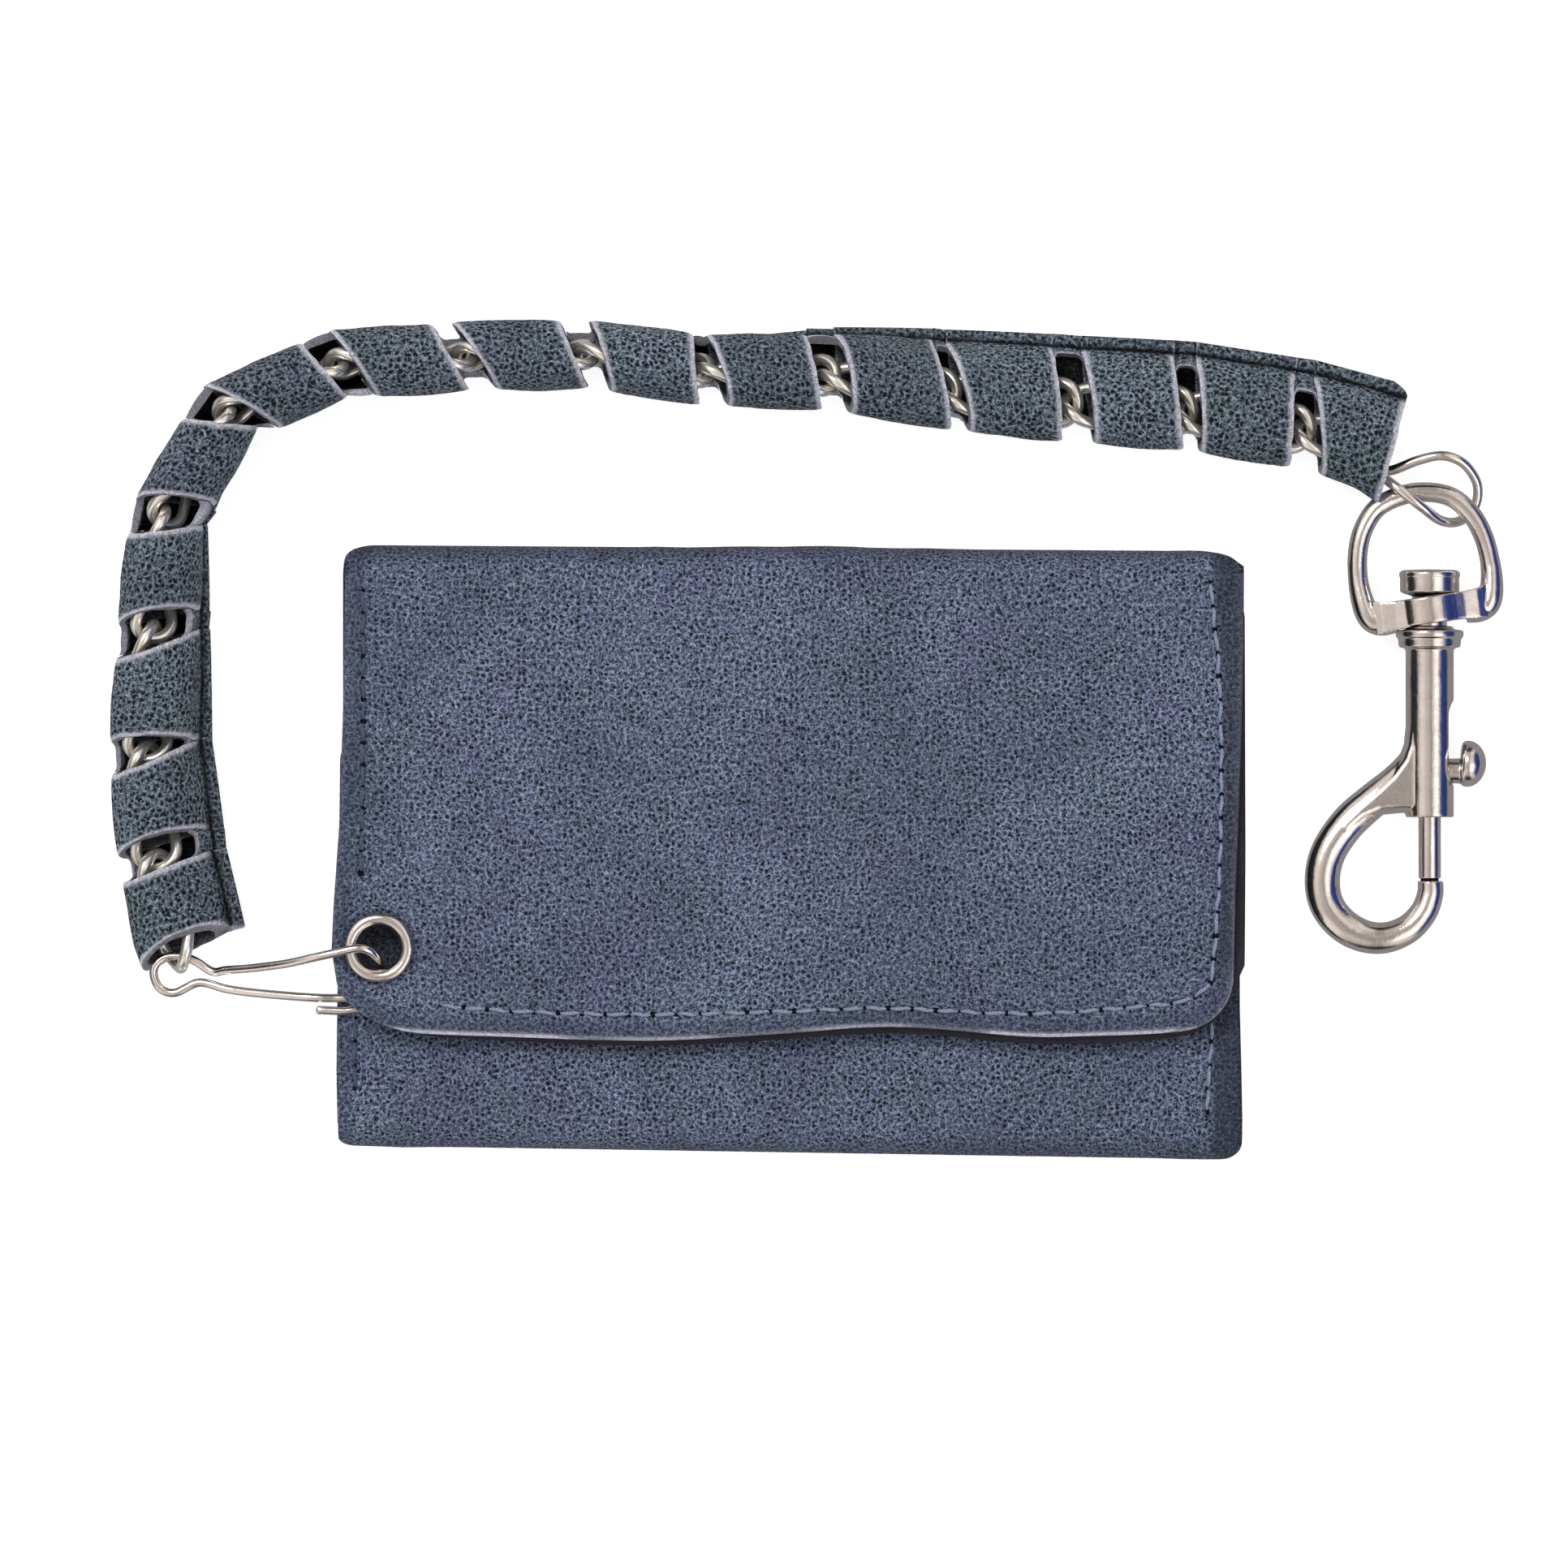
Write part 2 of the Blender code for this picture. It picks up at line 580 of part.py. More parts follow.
# ---------------------------------------------------------------- end ring
END_RING_R = 0.625
END_RING_PIVOT = (71.2, 51.2, 4.4)
END_RING_PATH = [             # x, y, z
    (75.7, 47.9, 3.4), (79.5, 49.2, 4.2), (82.6, 49.8, 4.6), (85.2, 48.9, 4.2),
    (86.9, 46.8, 3.0), (87.2, 44.7, 2.25), (86.5, 42.9, 2.2), (84.7, 41.5, 2.9),
    (82.4, 41.6, 4.6), (80.0, 43.2, 6.4), (77.3, 45.3, 6.75), (74.9, 47.2, 5.8),
    (73.6, 48.5, 6.1), (72.2, 50.0, 6.3), (71.3, 50.9, 5.8), (71.0, 51.2, 4.4),
    (71.3, 51.0, 3.0), (72.3, 50.3, 2.45), (73.6, 49.4, 2.6),
]

end_body = add_axis("axis_end_ring_pivot", END_RING_PIVOT, strap[1])
add_piece("end_ring", tube(smooth_path(END_RING_PATH, 2, closed=True), END_RING_R, 8, closed=True),
          NICKEL, end_body, sharp_deg=60)

# ---------------------------------------------------------------- bolt snap bodies
EYE_Y = 30.3                  # centre of the eye's collar
EYE_SWING = (81.6, 44.6)      # x, y where the eye hangs on the end ring
KNOB_Y = 9.8
EYE_CENTRE = Vector((SNAP_X, EYE_Y, SNAP_Z))
SNAP_BASE = (SNAP_X, 0, SNAP_Z)   # lathe distances from here along +Y are plain y values

eye_body = add_axis("axis_eye_swing", (*EYE_SWING, SNAP_Z), end_body)
hook_axis = add_axis("axis_hook_swivel", EYE_CENTRE, eye_body)
plunger_axis = add_axis("axis_plunger_slide", (SNAP_X, KNOB_Y, SNAP_Z), hook_axis)


def snap_lathe(profile, sides, centre=SNAP_BASE):
    return lathe(profile, sides, centre, (0, 1, 0))


# ---------------------------------------------------------------- swivel eye
# A D of round bar whose ends run into the collar that turns on the post.
EYE_TILT = 8.0                # degrees; the eye sits askew on its loose post
EYE_BAR_R = 1.25
COLLAR_R, COLLAR_BORE_R, COLLAR_HALF = 4.5, 2.75, 1.65
COLLAR_CHAMFER = 0.4
EYE_HALF_PATH = [             # x, y from the collar's centre, before the tilt
    (3.7, -0.1), (5.6, -0.3), (7.4, 0.3), (8.35, 2.0), (8.45, 5.0), (8.0, 8.4), (6.7, 11.6),
    (4.2, 14.0), (0.0, 14.95),
]
COLLAR_PROFILE = [            # radius, distance along the tilted axis
    (COLLAR_BORE_R, -COLLAR_HALF),
    (COLLAR_R - COLLAR_CHAMFER, -COLLAR_HALF),
    (COLLAR_R, -COLLAR_HALF + COLLAR_CHAMFER),
    (COLLAR_R, COLLAR_HALF - COLLAR_CHAMFER),
    (COLLAR_R - COLLAR_CHAMFER, COLLAR_HALF),
    (COLLAR_BORE_R, COLLAR_HALF),
]


def add_swivel_eye():
    tilt = Matrix.Rotation(math.radians(EYE_TILT), 3, "Z")
    bar_points = [(x, y, 0.0) for x, y in EYE_HALF_PATH]
    bar_points += [(-x, y, 0.0) for x, y in EYE_HALF_PATH[-2::-1]]
    bar_path = [EYE_CENTRE + tilt @ point for point in smooth_path(bar_points, 2)]
    collar = lathe(COLLAR_PROFILE, 24, EYE_CENTRE, tilt @ Vector((0, 1, 0)), closed=True)
    eye = add_piece("swivel_eye", collar, NICKEL, eye_body, sharp_deg=40)
    eye_bar = add_cutter("add_eye_bar", tube(bar_path, EYE_BAR_R, 10), eye_body)
    add_boolean(eye, eye_bar, "UNION")


add_swivel_eye()

# ---------------------------------------------------------------- swivel post
# Button head on the collar's +Y side, shank through the collar into the barrel.
POST_R, POST_HEAD_R = 2.2, 3.85
POST_PROFILE = [              # radius, y from the collar's centre
    (0, -6.2), (POST_R, -6.2), (POST_R, 2.4), (POST_HEAD_R - 0.3, 2.4), (POST_HEAD_R, 2.8),
    (POST_HEAD_R, 4.2), (POST_HEAD_R - 0.9, 5.0), (0, 5.0),
]

add_piece("swivel_post", snap_lathe(POST_PROFILE, 20, EYE_CENTRE), NICKEL, hook_axis, sharp_deg=40)

# ---------------------------------------------------------------- hook body
# Flanged barrel with the flat hook grown out of its side, bored for plunger and post.
BARREL_R, FLANGE_R = 3.1, 4.3
BARREL_TOP, BARREL_END = 27.8, 4.1   # y of the flanged end and of the plunger's end
FLANGE_START = BARREL_TOP - 2.3
BARREL_CHAMFER, FLANGE_CHAMFER = 0.3, 0.4
BARREL_PROFILE = [            # radius, y
    (0, BARREL_END),
    (BARREL_R - BARREL_CHAMFER, BARREL_END),
    (BARREL_R, BARREL_END + BARREL_CHAMFER),
    (BARREL_R, FLANGE_START - BARREL_CHAMFER),
    (FLANGE_R - FLANGE_CHAMFER, FLANGE_START),
    (FLANGE_R, FLANGE_START + FLANGE_CHAMFER),
    (FLANGE_R, BARREL_TOP - FLANGE_CHAMFER),
    (FLANGE_R - FLANGE_CHAMFER, BARREL_TOP),
    (0, BARREL_TOP),
]
HOOK_HALF = 2.1               # half thickness of the flat hook
HOOK_SOFTEN = 0.9             # bevel width on its edges
HOOK_OUTLINE = [              # x, y
    (78.6, 15.0), (75.6, 10.6), (70.2, 5.6), (66.5, 1.6), (65.1, -1.6), (65.1, -4.8),
    (66.6, -7.9), (68.9, -10.9), (71.4, -12.5), (75.4, -13.3), (78.3, -12.3), (81.3, -9.1),
    (82.6, -6.3), (82.75, -4.1), (79.35, -4.1), (79.2, -6.0), (77.8, -7.9), (75.3, -9.0),
    (72.7, -8.4), (70.6, -6.5), (69.6, -3.9), (69.7, -0.4), (70.9, 2.8), (72.6, 4.3),
    (79.6, 4.4), (79.6, 15.0),
]
PLUNGER_BORE_R = 1.75
PLUNGER_BORE_END = 22.3       # y of the bore's blind end
POST_BORE_START = 23.6        # y of the post bore's blind end
POST_CLEARANCE = 0.3
CUT_OVERRUN = 1.0             # cutters pass the barrel's ends by this much
KNOB_STEM_R = 1.7
PLUNGER_TRAVEL = 7.0
SLOT_END_CLEARANCE, SLOT_SIDE_CLEARANCE = 0.3, 0.25
SLOT_REACH = 6.0              # the slot's cutter, from the axis towards +X


def knob_slot_shape():
    """Slot in the barrel's +X side, as long as the knob's travel."""
    y_min = KNOB_Y - KNOB_STEM_R - SLOT_END_CLEARANCE
    y_max = KNOB_Y + PLUNGER_TRAVEL + KNOB_STEM_R + SLOT_END_CLEARANCE
    half = KNOB_STEM_R + SLOT_SIDE_CLEARANCE
    return prism(rectangle(SNAP_X, y_min, SNAP_X + SLOT_REACH, y_max),
                 SNAP_Z - half, SNAP_Z + half)


def add_hook_plate():
    plate = add_cutter("add_hook_plate",
                       prism(HOOK_OUTLINE, SNAP_Z - HOOK_HALF, SNAP_Z + HOOK_HALF), hook_axis)
    soften = plate.modifiers.new("soften", "BEVEL")
    soften.width = HOOK_SOFTEN * MM
    soften.segments = 2
    soften.limit_method = "ANGLE"
    soften.angle_limit = math.radians(60)
    return plate


def add_hook_body():
    body = add_piece("hook_body", snap_lathe(BARREL_PROFILE, 24), NICKEL, hook_axis, sharp_deg=35)
    add_boolean(body, add_hook_plate(), "UNION")
    plunger_bore = rod_profile(PLUNGER_BORE_R, BARREL_END - CUT_OVERRUN, PLUNGER_BORE_END)
    post_bore = rod_profile(POST_R + POST_CLEARANCE, POST_BORE_START, BARREL_TOP + CUT_OVERRUN)
    for name, shape in (("cut_plunger_bore", snap_lathe(plunger_bore, 20)),
                        ("cut_post_bore", snap_lathe(post_bore, 20)),
                        ("cut_knob_slot", knob_slot_shape())):
        add_boolean(body, add_cutter(name, shape, hook_axis), "DIFFERENCE")


add_hook_body()

# ---------------------------------------------------------------- plunger and knob
PLUNGER_R = 1.45
PLUNGER_TIP_Y, PLUNGER_TAIL_Y = -3.65, 12.2
PLUNGER_CHAMFER = 0.25
PLUNGER_PROFILE = [           # radius, y
    (0, PLUNGER_TIP_Y), (PLUNGER_R - PLUNGER_CHAMFER, PLUNGER_TIP_Y),
    (PLUNGER_R, PLUNGER_TIP_Y + PLUNGER_CHAMFER), (PLUNGER_R, PLUNGER_TAIL_Y),
    (0, PLUNGER_TAIL_Y),
]
KNOB_R = 3.05
KNOB_START = PLUNGER_R + 0.2  # the stem starts just off the plunger
KNOB_PROFILE = [              # radius, distance from the snap's axis towards +X
    (0, KNOB_START), (KNOB_STEM_R, KNOB_START), (KNOB_STEM_R, 4.5), (KNOB_R - 0.5, 4.5),
    (KNOB_R, 4.9), (KNOB_R, 5.7), (KNOB_R - 0.5, 6.7), (KNOB_R - 1.6, 7.4), (0, 7.6),
]

add_piece("plunger", snap_lathe(PLUNGER_PROFILE, 20), NICKEL, plunger_axis, sharp_deg=40)
add_piece("thumb_knob", lathe(KNOB_PROFILE, 20, (SNAP_X, KNOB_Y, SNAP_Z), (1, 0, 0)),
          NICKEL, plunger_axis, sharp_deg=40)

# ---------------------------------------------------------------- plunger spring
SPRING_TURNS, SPRING_STEPS = 7, 10   # steps are per turn
SPRING_R, SPRING_WIRE_R = 1.3, 0.22
SPRING_GAP = 0.4              # to the plunger's tail and to the bore's end


def spring_path():
    start = PLUNGER_TAIL_Y + SPRING_GAP
    length = PLUNGER_BORE_END - SPRING_GAP - start
    total = SPRING_TURNS * SPRING_STEPS
    path = []
    for k in range(total + 1):
        angle = 2 * math.pi * k / SPRING_STEPS
        path.append(Vector((SNAP_X + SPRING_R * math.cos(angle), start + length * k / total,
                            SNAP_Z + SPRING_R * math.sin(angle))))
    return path


add_piece("plunger_spring", tube(spring_path(), SPRING_WIRE_R, 5), SPRING_STEEL, hook_axis,
          sharp_deg=60)
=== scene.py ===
"""Looks of a chain wallet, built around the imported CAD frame.

The closed wallet lies on its back at z = 0, with x across, y up its face and z towards the
camera. The flap hangs from the fold at +y; the front panel rises from the fold at -y. A sewn
leather strap with a chain inside runs from the end ring at +x, past the top edge, to the
wallet ring at -x. A bolt snap lies beside the right edge. Sizes are in millimetres.
"""
import math
from collections import namedtuple

import bmesh
import bpy
import numpy as np
from mathutils import Matrix, Vector, noise
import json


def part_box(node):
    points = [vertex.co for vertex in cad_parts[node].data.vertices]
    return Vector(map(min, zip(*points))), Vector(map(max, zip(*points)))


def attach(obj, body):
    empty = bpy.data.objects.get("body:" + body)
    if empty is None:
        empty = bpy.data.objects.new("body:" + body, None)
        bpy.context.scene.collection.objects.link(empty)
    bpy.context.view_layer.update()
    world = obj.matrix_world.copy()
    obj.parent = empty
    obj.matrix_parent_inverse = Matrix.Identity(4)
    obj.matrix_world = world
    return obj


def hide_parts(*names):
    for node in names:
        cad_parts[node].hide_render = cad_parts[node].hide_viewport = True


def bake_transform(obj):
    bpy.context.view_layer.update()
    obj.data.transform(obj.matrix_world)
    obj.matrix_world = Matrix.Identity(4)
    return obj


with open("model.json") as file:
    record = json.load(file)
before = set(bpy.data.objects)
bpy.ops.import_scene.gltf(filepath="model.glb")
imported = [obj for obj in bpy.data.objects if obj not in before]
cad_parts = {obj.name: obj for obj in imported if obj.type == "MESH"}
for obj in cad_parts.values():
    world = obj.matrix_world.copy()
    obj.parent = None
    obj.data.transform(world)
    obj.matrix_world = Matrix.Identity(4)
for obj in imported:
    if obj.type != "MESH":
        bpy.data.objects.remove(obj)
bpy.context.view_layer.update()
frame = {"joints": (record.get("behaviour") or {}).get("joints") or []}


MM = 0.001
JOINTS = {joint["name"]: joint for joint in frame["joints"]}
ALONG_X, ALONG_Y, UP = (1, 0, 0), (0, 1, 0), (0, 0, 1)


# =====================================================================
# numbers and curves
# =====================================================================
def srgb(red, green, blue):
    def linear(c):
        c /= 255.0
        return c / 12.92 if c <= 0.04045 else ((c + 0.055) / 1.055) ** 2.4
    return (linear(red), linear(green), linear(blue), 1.0)


def lerp(a, b, t):
    return a + (b - a) * t


def smoothstep(a, b, x):
    t = np.clip((np.asarray(x, float) - a) / (b - a), 0.0, 1.0)
    return t * t * (3 - 2 * t)


def look_up(x, table):
    """Reads a table of (x, value) pairs, straight between its points."""
    return np.interp(x, *np.transpose(table))


def ripple(x, y, scale, seed):
    """Smooth noise over millimetre positions, about -1 to 1."""
    def one(px, py):
        spot = (px / scale + seed, py / scale - seed * 0.7, seed * 1.3)
        return noise.noise(Vector(spot))
    return np.vectorize(one, otypes=[float])(x, y)


def graded(length, edge_steps, step):
    """Positions 0..length, fine next to both ends."""
    head = np.cumsum([0.0] + edge_steps)
    inner = np.arange(head[-1] + step, length - head[-1] - step * 0.5, step)
    return np.concatenate([head, inner, (length - head)[::-1]])


def run_length(points):
    """Distance covered at each point of a polyline."""
    steps = np.linalg.norm(np.diff(points, axis=0), axis=1)
    return np.concatenate([[0], np.cumsum(steps)])


def walk(points, pitch, start=0.0):
    """Evenly spaced points along a polyline."""
    out, need = [], start
    for a, b in zip(points, points[1:]):
        a, b = np.asarray(a, float), np.asarray(b, float)
        length = np.linalg.norm(b - a)
        while need <= length:
            out.append(a + (b - a) * need / length)
            need += pitch
        need -= length
    return np.array(out)


def catmull(points, steps, closed=False):
    """Smooth curve through all the points."""
    pts = [np.asarray(p, float) for p in points]
    n = len(pts)
    out = []
    for k in range(n if closed else n - 1):
        p1, p2 = pts[k], pts[(k + 1) % n]
        p0 = pts[k - 1] if closed or k else 2 * p1 - p2
        p3 = pts[(k + 2) % n] if closed or k + 2 < n else 2 * p2 - p1
        for j in range(steps):
            t = j / steps
            out.append(0.5 * ((2 * p1) + (p2 - p0) * t
                              + (2 * p0 - 5 * p1 + 4 * p2 - p3) * t * t
                              + (3 * p1 - p0 - 3 * p2 + p3) * t * t * t))
    if not closed:
        out.append(pts[-1])
    return np.array(out)


def rounded(profile, radius, steps, closed=False):
    """Rounds the corners of a turned profile, except open ends and points on the axis."""
    pts = [np.array(p, float) for p in profile]
    n = len(pts)
    out = []
    for k, p in enumerate(pts):
        if (not closed and k in (0, n - 1)) or p[0] < 1e-6:
            out.append(tuple(p))
            continue
        to_last, to_next = pts[k - 1] - p, pts[(k + 1) % n] - p
        len_last, len_next = np.linalg.norm(to_last), np.linalg.norm(to_next)
        reach = min(radius, len_last * 0.45, len_next * 0.45)
        first, last = p + to_last / len_last * reach, p + to_next / len_next * reach
        for s in range(steps + 1):
            w = s / steps
            out.append(tuple((1 - w) ** 2 * first + 2 * w * (1 - w) * p + w * w * last))
    return out


def unit(v):
    return v / np.linalg.norm(v)


def square_to(v, axis):
    """Unit vector of the part of v at right angles to the axis."""
    return unit(v - axis * v.dot(axis))


# =====================================================================
# meshes: each shape is a pair of verts and faces
# =====================================================================
def bands(rows, closed=False):
    """Quads between successive rings of vertex numbers."""
    faces = []
    for a, b in zip(rows, rows[1:] + (rows[:1] if closed else [])):
        m = len(a)
        faces += [[a[k], a[(k + 1) % m], b[(k + 1) % m], b[k]] for k in range(m)]
    return faces


def skin(rows, closed=False):
    """Bands, with a cap on each end unless they close on themselves."""
    faces = bands(rows, closed)
    if not closed:
        faces += [list(rows[0])[::-1], list(rows[-1])]
    return faces


def rows_of(count, size):
    return [range(k * size, (k + 1) * size) for k in range(count)]


def grid_faces(rows, columns, base=0, flip=False):
    ids = base + np.arange(rows * columns).reshape(rows, columns)
    a, b, c, d = (part.ravel() for part in
                  (ids[:-1, :-1], ids[:-1, 1:], ids[1:, 1:], ids[1:, :-1]))
    return np.stack([a, d, c, b] if flip else [a, b, c, d], axis=1).tolist()


def shell(top, bottom):
    """Closed sheet between two equal grids of points."""
    R, C = top.shape[:2]
    n = R * C
    faces = grid_faces(R, C) + grid_faces(R, C, n, flip=True)
    loop = [(0, c) for c in range(C)] + [(r, C - 1) for r in range(1, R)]
    loop += [(R - 1, c) for c in range(C - 2, -1, -1)] + [(r, 0) for r in range(R - 2, 0, -1)]
    rim = [r * C + c for r, c in loop]
    for a, b in zip(rim, rim[1:] + rim[:1]):
        faces.append([b, a, a + n, b + n])
    return np.concatenate([top.reshape(-1, 3), bottom.reshape(-1, 3)]), faces


def dome(end, neighbour, radii):
    """Shrinking rings beyond the end of a wire, outermost first."""
    outward = unit(end - neighbour)
    angles = np.radians([80, 60, 35, 15])
    return ([end + outward * radii[0] * 0.6 * math.sin(a) for a in angles],
            [radii * math.cos(a) for a in angles])


def tube(path, radius, sides, closed=False, round_ends=False):
    """Wire along a path; radius is one number, one per point, or (side, up) per point."""
    path = np.asarray(path, float)
    radii = np.asarray(radius, float)
    if radii.ndim < 2:
        radii = np.stack([np.broadcast_to(radii, len(path))] * 2, axis=1)
    if round_ends:
        head, head_radii = dome(path[0], path[1], radii[0])
        tail, tail_radii = dome(path[-1], path[-2], radii[-1])
        path = np.concatenate([head, path, tail[::-1]])
        radii = np.concatenate([head_radii, radii, tail_radii[::-1]])
    n = len(path)
    tangents = np.empty_like(path)
    for k in range(n):
        before = path[k - 1] if (k or closed) else path[k]
        after = path[(k + 1) % n] if (k < n - 1 or closed) else path[k]
        tangents[k] = unit(after - before)
    start = np.array(UP if abs(tangents[0][2]) < 0.9 else ALONG_X, float)
    ups = [square_to(start, tangents[0])]
    for tangent in tangents[1:]:
        ups.append(square_to(ups[-1], tangent))
    # a closed wire shares out the twist left over after one round
    slip = 0.0
    if closed:
        back = square_to(ups[-1], tangents[0])
        slip = math.atan2(tangents[0].dot(np.cross(back, ups[0])), back.dot(ups[0]))
    verts = []
    for k in range(n):
        across = np.cross(tangents[k], ups[k])
        for i in range(sides):
            a = 2 * math.pi * i / sides + slip * k / n
            verts.append(path[k] + radii[k][1] * math.cos(a) * ups[k]
                         + radii[k][0] * math.sin(a) * across)
    return np.array(verts), skin(rows_of(n, sides), closed)


def lathe(profile, sides, centre, axis, closed=False):
    """Turns a profile of (radius, height along the axis) about the axis."""
    reference = Vector(ALONG_X if axis == UP else UP)
    centre, axis = Vector(centre), Vector(axis).normalized()
    u = (reference - axis * reference.dot(axis)).normalized()
    v = axis.cross(u)
    verts, rows, faces = [], [], []
    for radius, height in ((float(p[0]), float(p[1])) for p in profile):
        if radius < 1e-6:
            rows.append([len(verts)])
            verts.append((centre + axis * height)[:])
            continue
        rows.append(range(len(verts), len(verts) + sides))
        for i in range(sides):
            a = 2 * math.pi * i / sides
            verts.append((centre + axis * height
                          + radius * (math.cos(a) * u + math.sin(a) * v))[:])
    for a, b in zip(rows, rows[1:] + (rows[:1] if closed else [])):
        for i in range(sides):
            j = (i + 1) % sides
            if len(a) == 1:
                faces.append([a[0], b[i], b[j]])
            elif len(b) == 1:
                faces.append([a[i], a[j], b[0]])
            else:
                faces.append([a[i], a[j], b[j], b[i]])
    return np.array(verts), faces


def cylinder(radius, low, high):
    """Lathe profile of a plain cylinder."""
    return [(0, low), (radius, low), (radius, high), (0, high)]


def merge(parts):
    verts, faces, n = [], [], 0
    for part_verts, part_faces in parts:
        verts.append(np.asarray(part_verts, float))
        faces += [[i + n for i in face] for face in part_faces]
        n += len(part_verts)
    return np.concatenate(verts), faces


# =====================================================================
# objects
# =====================================================================
def solid(name, shape, material, attrs=None, sharp=None, uvm=None, weld=None):
    """Closed smooth object with outward normals; weld is a distance in metres."""
    verts, faces = shape
    mesh = bpy.data.meshes.new(name)
    mesh.from_pydata((np.asarray(verts, float) * MM).tolist(), [], faces)
    mesh.materials.append(material)
    mesh.shade_smooth()
    if sharp:
        mesh.set_sharp_from_angle(angle=math.radians(sharp))
    for key, values in (attrs or {}).items():
        layer = mesh.attributes.new(key, "FLOAT", "POINT")
        layer.data.foreach_set("value", np.asarray(values, np.float32))
    if uvm is not None:
        layer = mesh.attributes.new("uvm", "FLOAT_VECTOR", "POINT")
        flat = np.zeros((len(mesh.vertices), 3), np.float32)
        flat[:, :2] = np.asarray(uvm, np.float32)
        layer.data.foreach_set("vector", flat.ravel())
    mesh.update()
    obj = bpy.data.objects.new(name, mesh)
    bpy.context.collection.objects.link(obj)

    bm = bmesh.new()
    bm.from_mesh(mesh)
    if weld:
        bmesh.ops.remove_doubles(bm, verts=bm.verts, dist=weld)
    bmesh.ops.recalc_face_normals(bm, faces=bm.faces)
    if bm.calc_volume(signed=True) < 0:
        bmesh.ops.reverse_faces(bm, faces=bm.faces)
    bm.to_mesh(mesh)
    bm.free()
    return obj


def bake(obj):
    """Applies the modifiers."""
    depsgraph = bpy.context.evaluated_depsgraph_get()
    mesh = bpy.data.meshes.new_from_object(obj.evaluated_get(depsgraph))
    obj.modifiers.clear()
    obj.data = mesh


def cut_away(obj, tools):
    """Cuts the tools out of the object and removes them."""
    for tool in tools:
        cut = obj.modifiers.new("cut", "BOOLEAN")
        cut.operation = "DIFFERENCE"
        cut.object = tool
    bake(obj)
    for tool in tools:
        bpy.data.objects.remove(tool, do_unlink=True)


def fit(obj, body, node):
    """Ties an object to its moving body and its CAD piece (if any)."""
    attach(obj, body)
    if node:
        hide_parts(node)


# =====================================================================
# materials
# =====================================================================
class Graph:
    """Short ways to build a node tree; values may be numbers or sockets."""

    def __init__(self, tree):
        self.tree = tree

    def put(self, socket, value):
        if isinstance(value, bpy.types.NodeSocket):
            self.tree.links.new(value, socket)
        else:
            socket.default_value = value

    def node(self, kind, *values, props=None, **named):
        """New node; values fill its inputs in order, named ones by name."""
        node = self.tree.nodes.new(kind)
        for key, value in (props or {}).items():
            setattr(node, key, value)
        for k, value in enumerate(values):
            self.put(node.inputs[k], value)
        for key, value in named.items():
            self.put(node.inputs[key.replace("_", " ")], value)
        return node

    def surface(self, **named):
        """Sets inputs of the material's main shader."""
        for key, value in named.items():
            self.put(self.bsdf.inputs[key.replace("_", " ")], value)

    def math(self, operation, *values):
        return self.node("ShaderNodeMath", *values, props={"operation": operation}).outputs[0]

    def plus(self, a, b):
        return self.math("ADD", a, b)

    def minus(self, a, b):
        return self.math("SUBTRACT", a, b)

    def times(self, a, b):
        return self.math("MULTIPLY", a, b)

    def ramp(self, value, stops):
        """Colour ramp; stops are (position, grey or colour)."""
        node = self.node("ShaderNodeValToRGB", value)
        elements = node.color_ramp.elements
        while len(elements) < len(stops):
            elements.new(0.5)
        for element, (position, c) in zip(elements, stops):
            element.position = position
            element.color = c if isinstance(c, tuple) else (c, c, c, 1)
        return node.outputs["Color"]

    def rise(self, value, low, high):
        return self.ramp(value, [(low, 0.0), (high, 1.0)])

    def fall(self, value, low, high):
        return self.ramp(value, [(low, 1.0), (high, 0.0)])

    def mix(self, amount, a, b, blend="MIX"):
        node = self.node("ShaderNodeMix", amount, props={"data_type": "RGBA", "blend_type": blend})
        self.put(node.inputs[6], a)
        self.put(node.inputs[7], b)
        return node.outputs[2]

    def attribute(self, name, output="Fac"):
        return self.node("ShaderNodeAttribute", props={"attribute_name": name}).outputs[output]

    def vector(self, operation, *values, **named):
        props = {"operation": operation}
        return self.node("ShaderNodeVectorMath", *values, props=props, **named).outputs[0]

    def shift(self, place, offset):
        return self.vector("ADD", place, offset)

    def coords_mm(self):
        place = self.node("ShaderNodeTexCoord").outputs["Object"]
        return self.vector("SCALE", place, Scale=1000.0)

    def noise(self, place, scale, detail=2.0, rough=0.5, distort=0.0, dims="3D", output="Fac"):
        return self.node("ShaderNodeTexNoise", props={"noise_dimensions": dims}, Vector=place,
                         Scale=scale, Detail=detail, Roughness=rough,
                         Distortion=distort).outputs[output]

    def voronoi(self, place, scale, feature, dims="3D"):
        return self.node("ShaderNodeTexVoronoi",
                         props={"voronoi_dimensions": dims, "feature": feature},
                         Vector=place, Scale=scale, Randomness=1.0)

    def bump(self, height, strength, distance):
        """Fine relief of the surface; distance in metres."""
        node = self.node("ShaderNodeBump", Strength=strength, Distance=distance, Height=height)
        self.surface(Normal=node.outputs[0])


def new_material(name):
    material = bpy.data.materials.new(name)
    material.use_nodes = True
    g = Graph(material.node_tree)
    g.material = material
    g.bsdf = g.tree.nodes["Principled BSDF"]
    return g


def shade(colour, factor):
    return tuple(min(1.0, c * factor) for c in colour[:3]) + (1,)


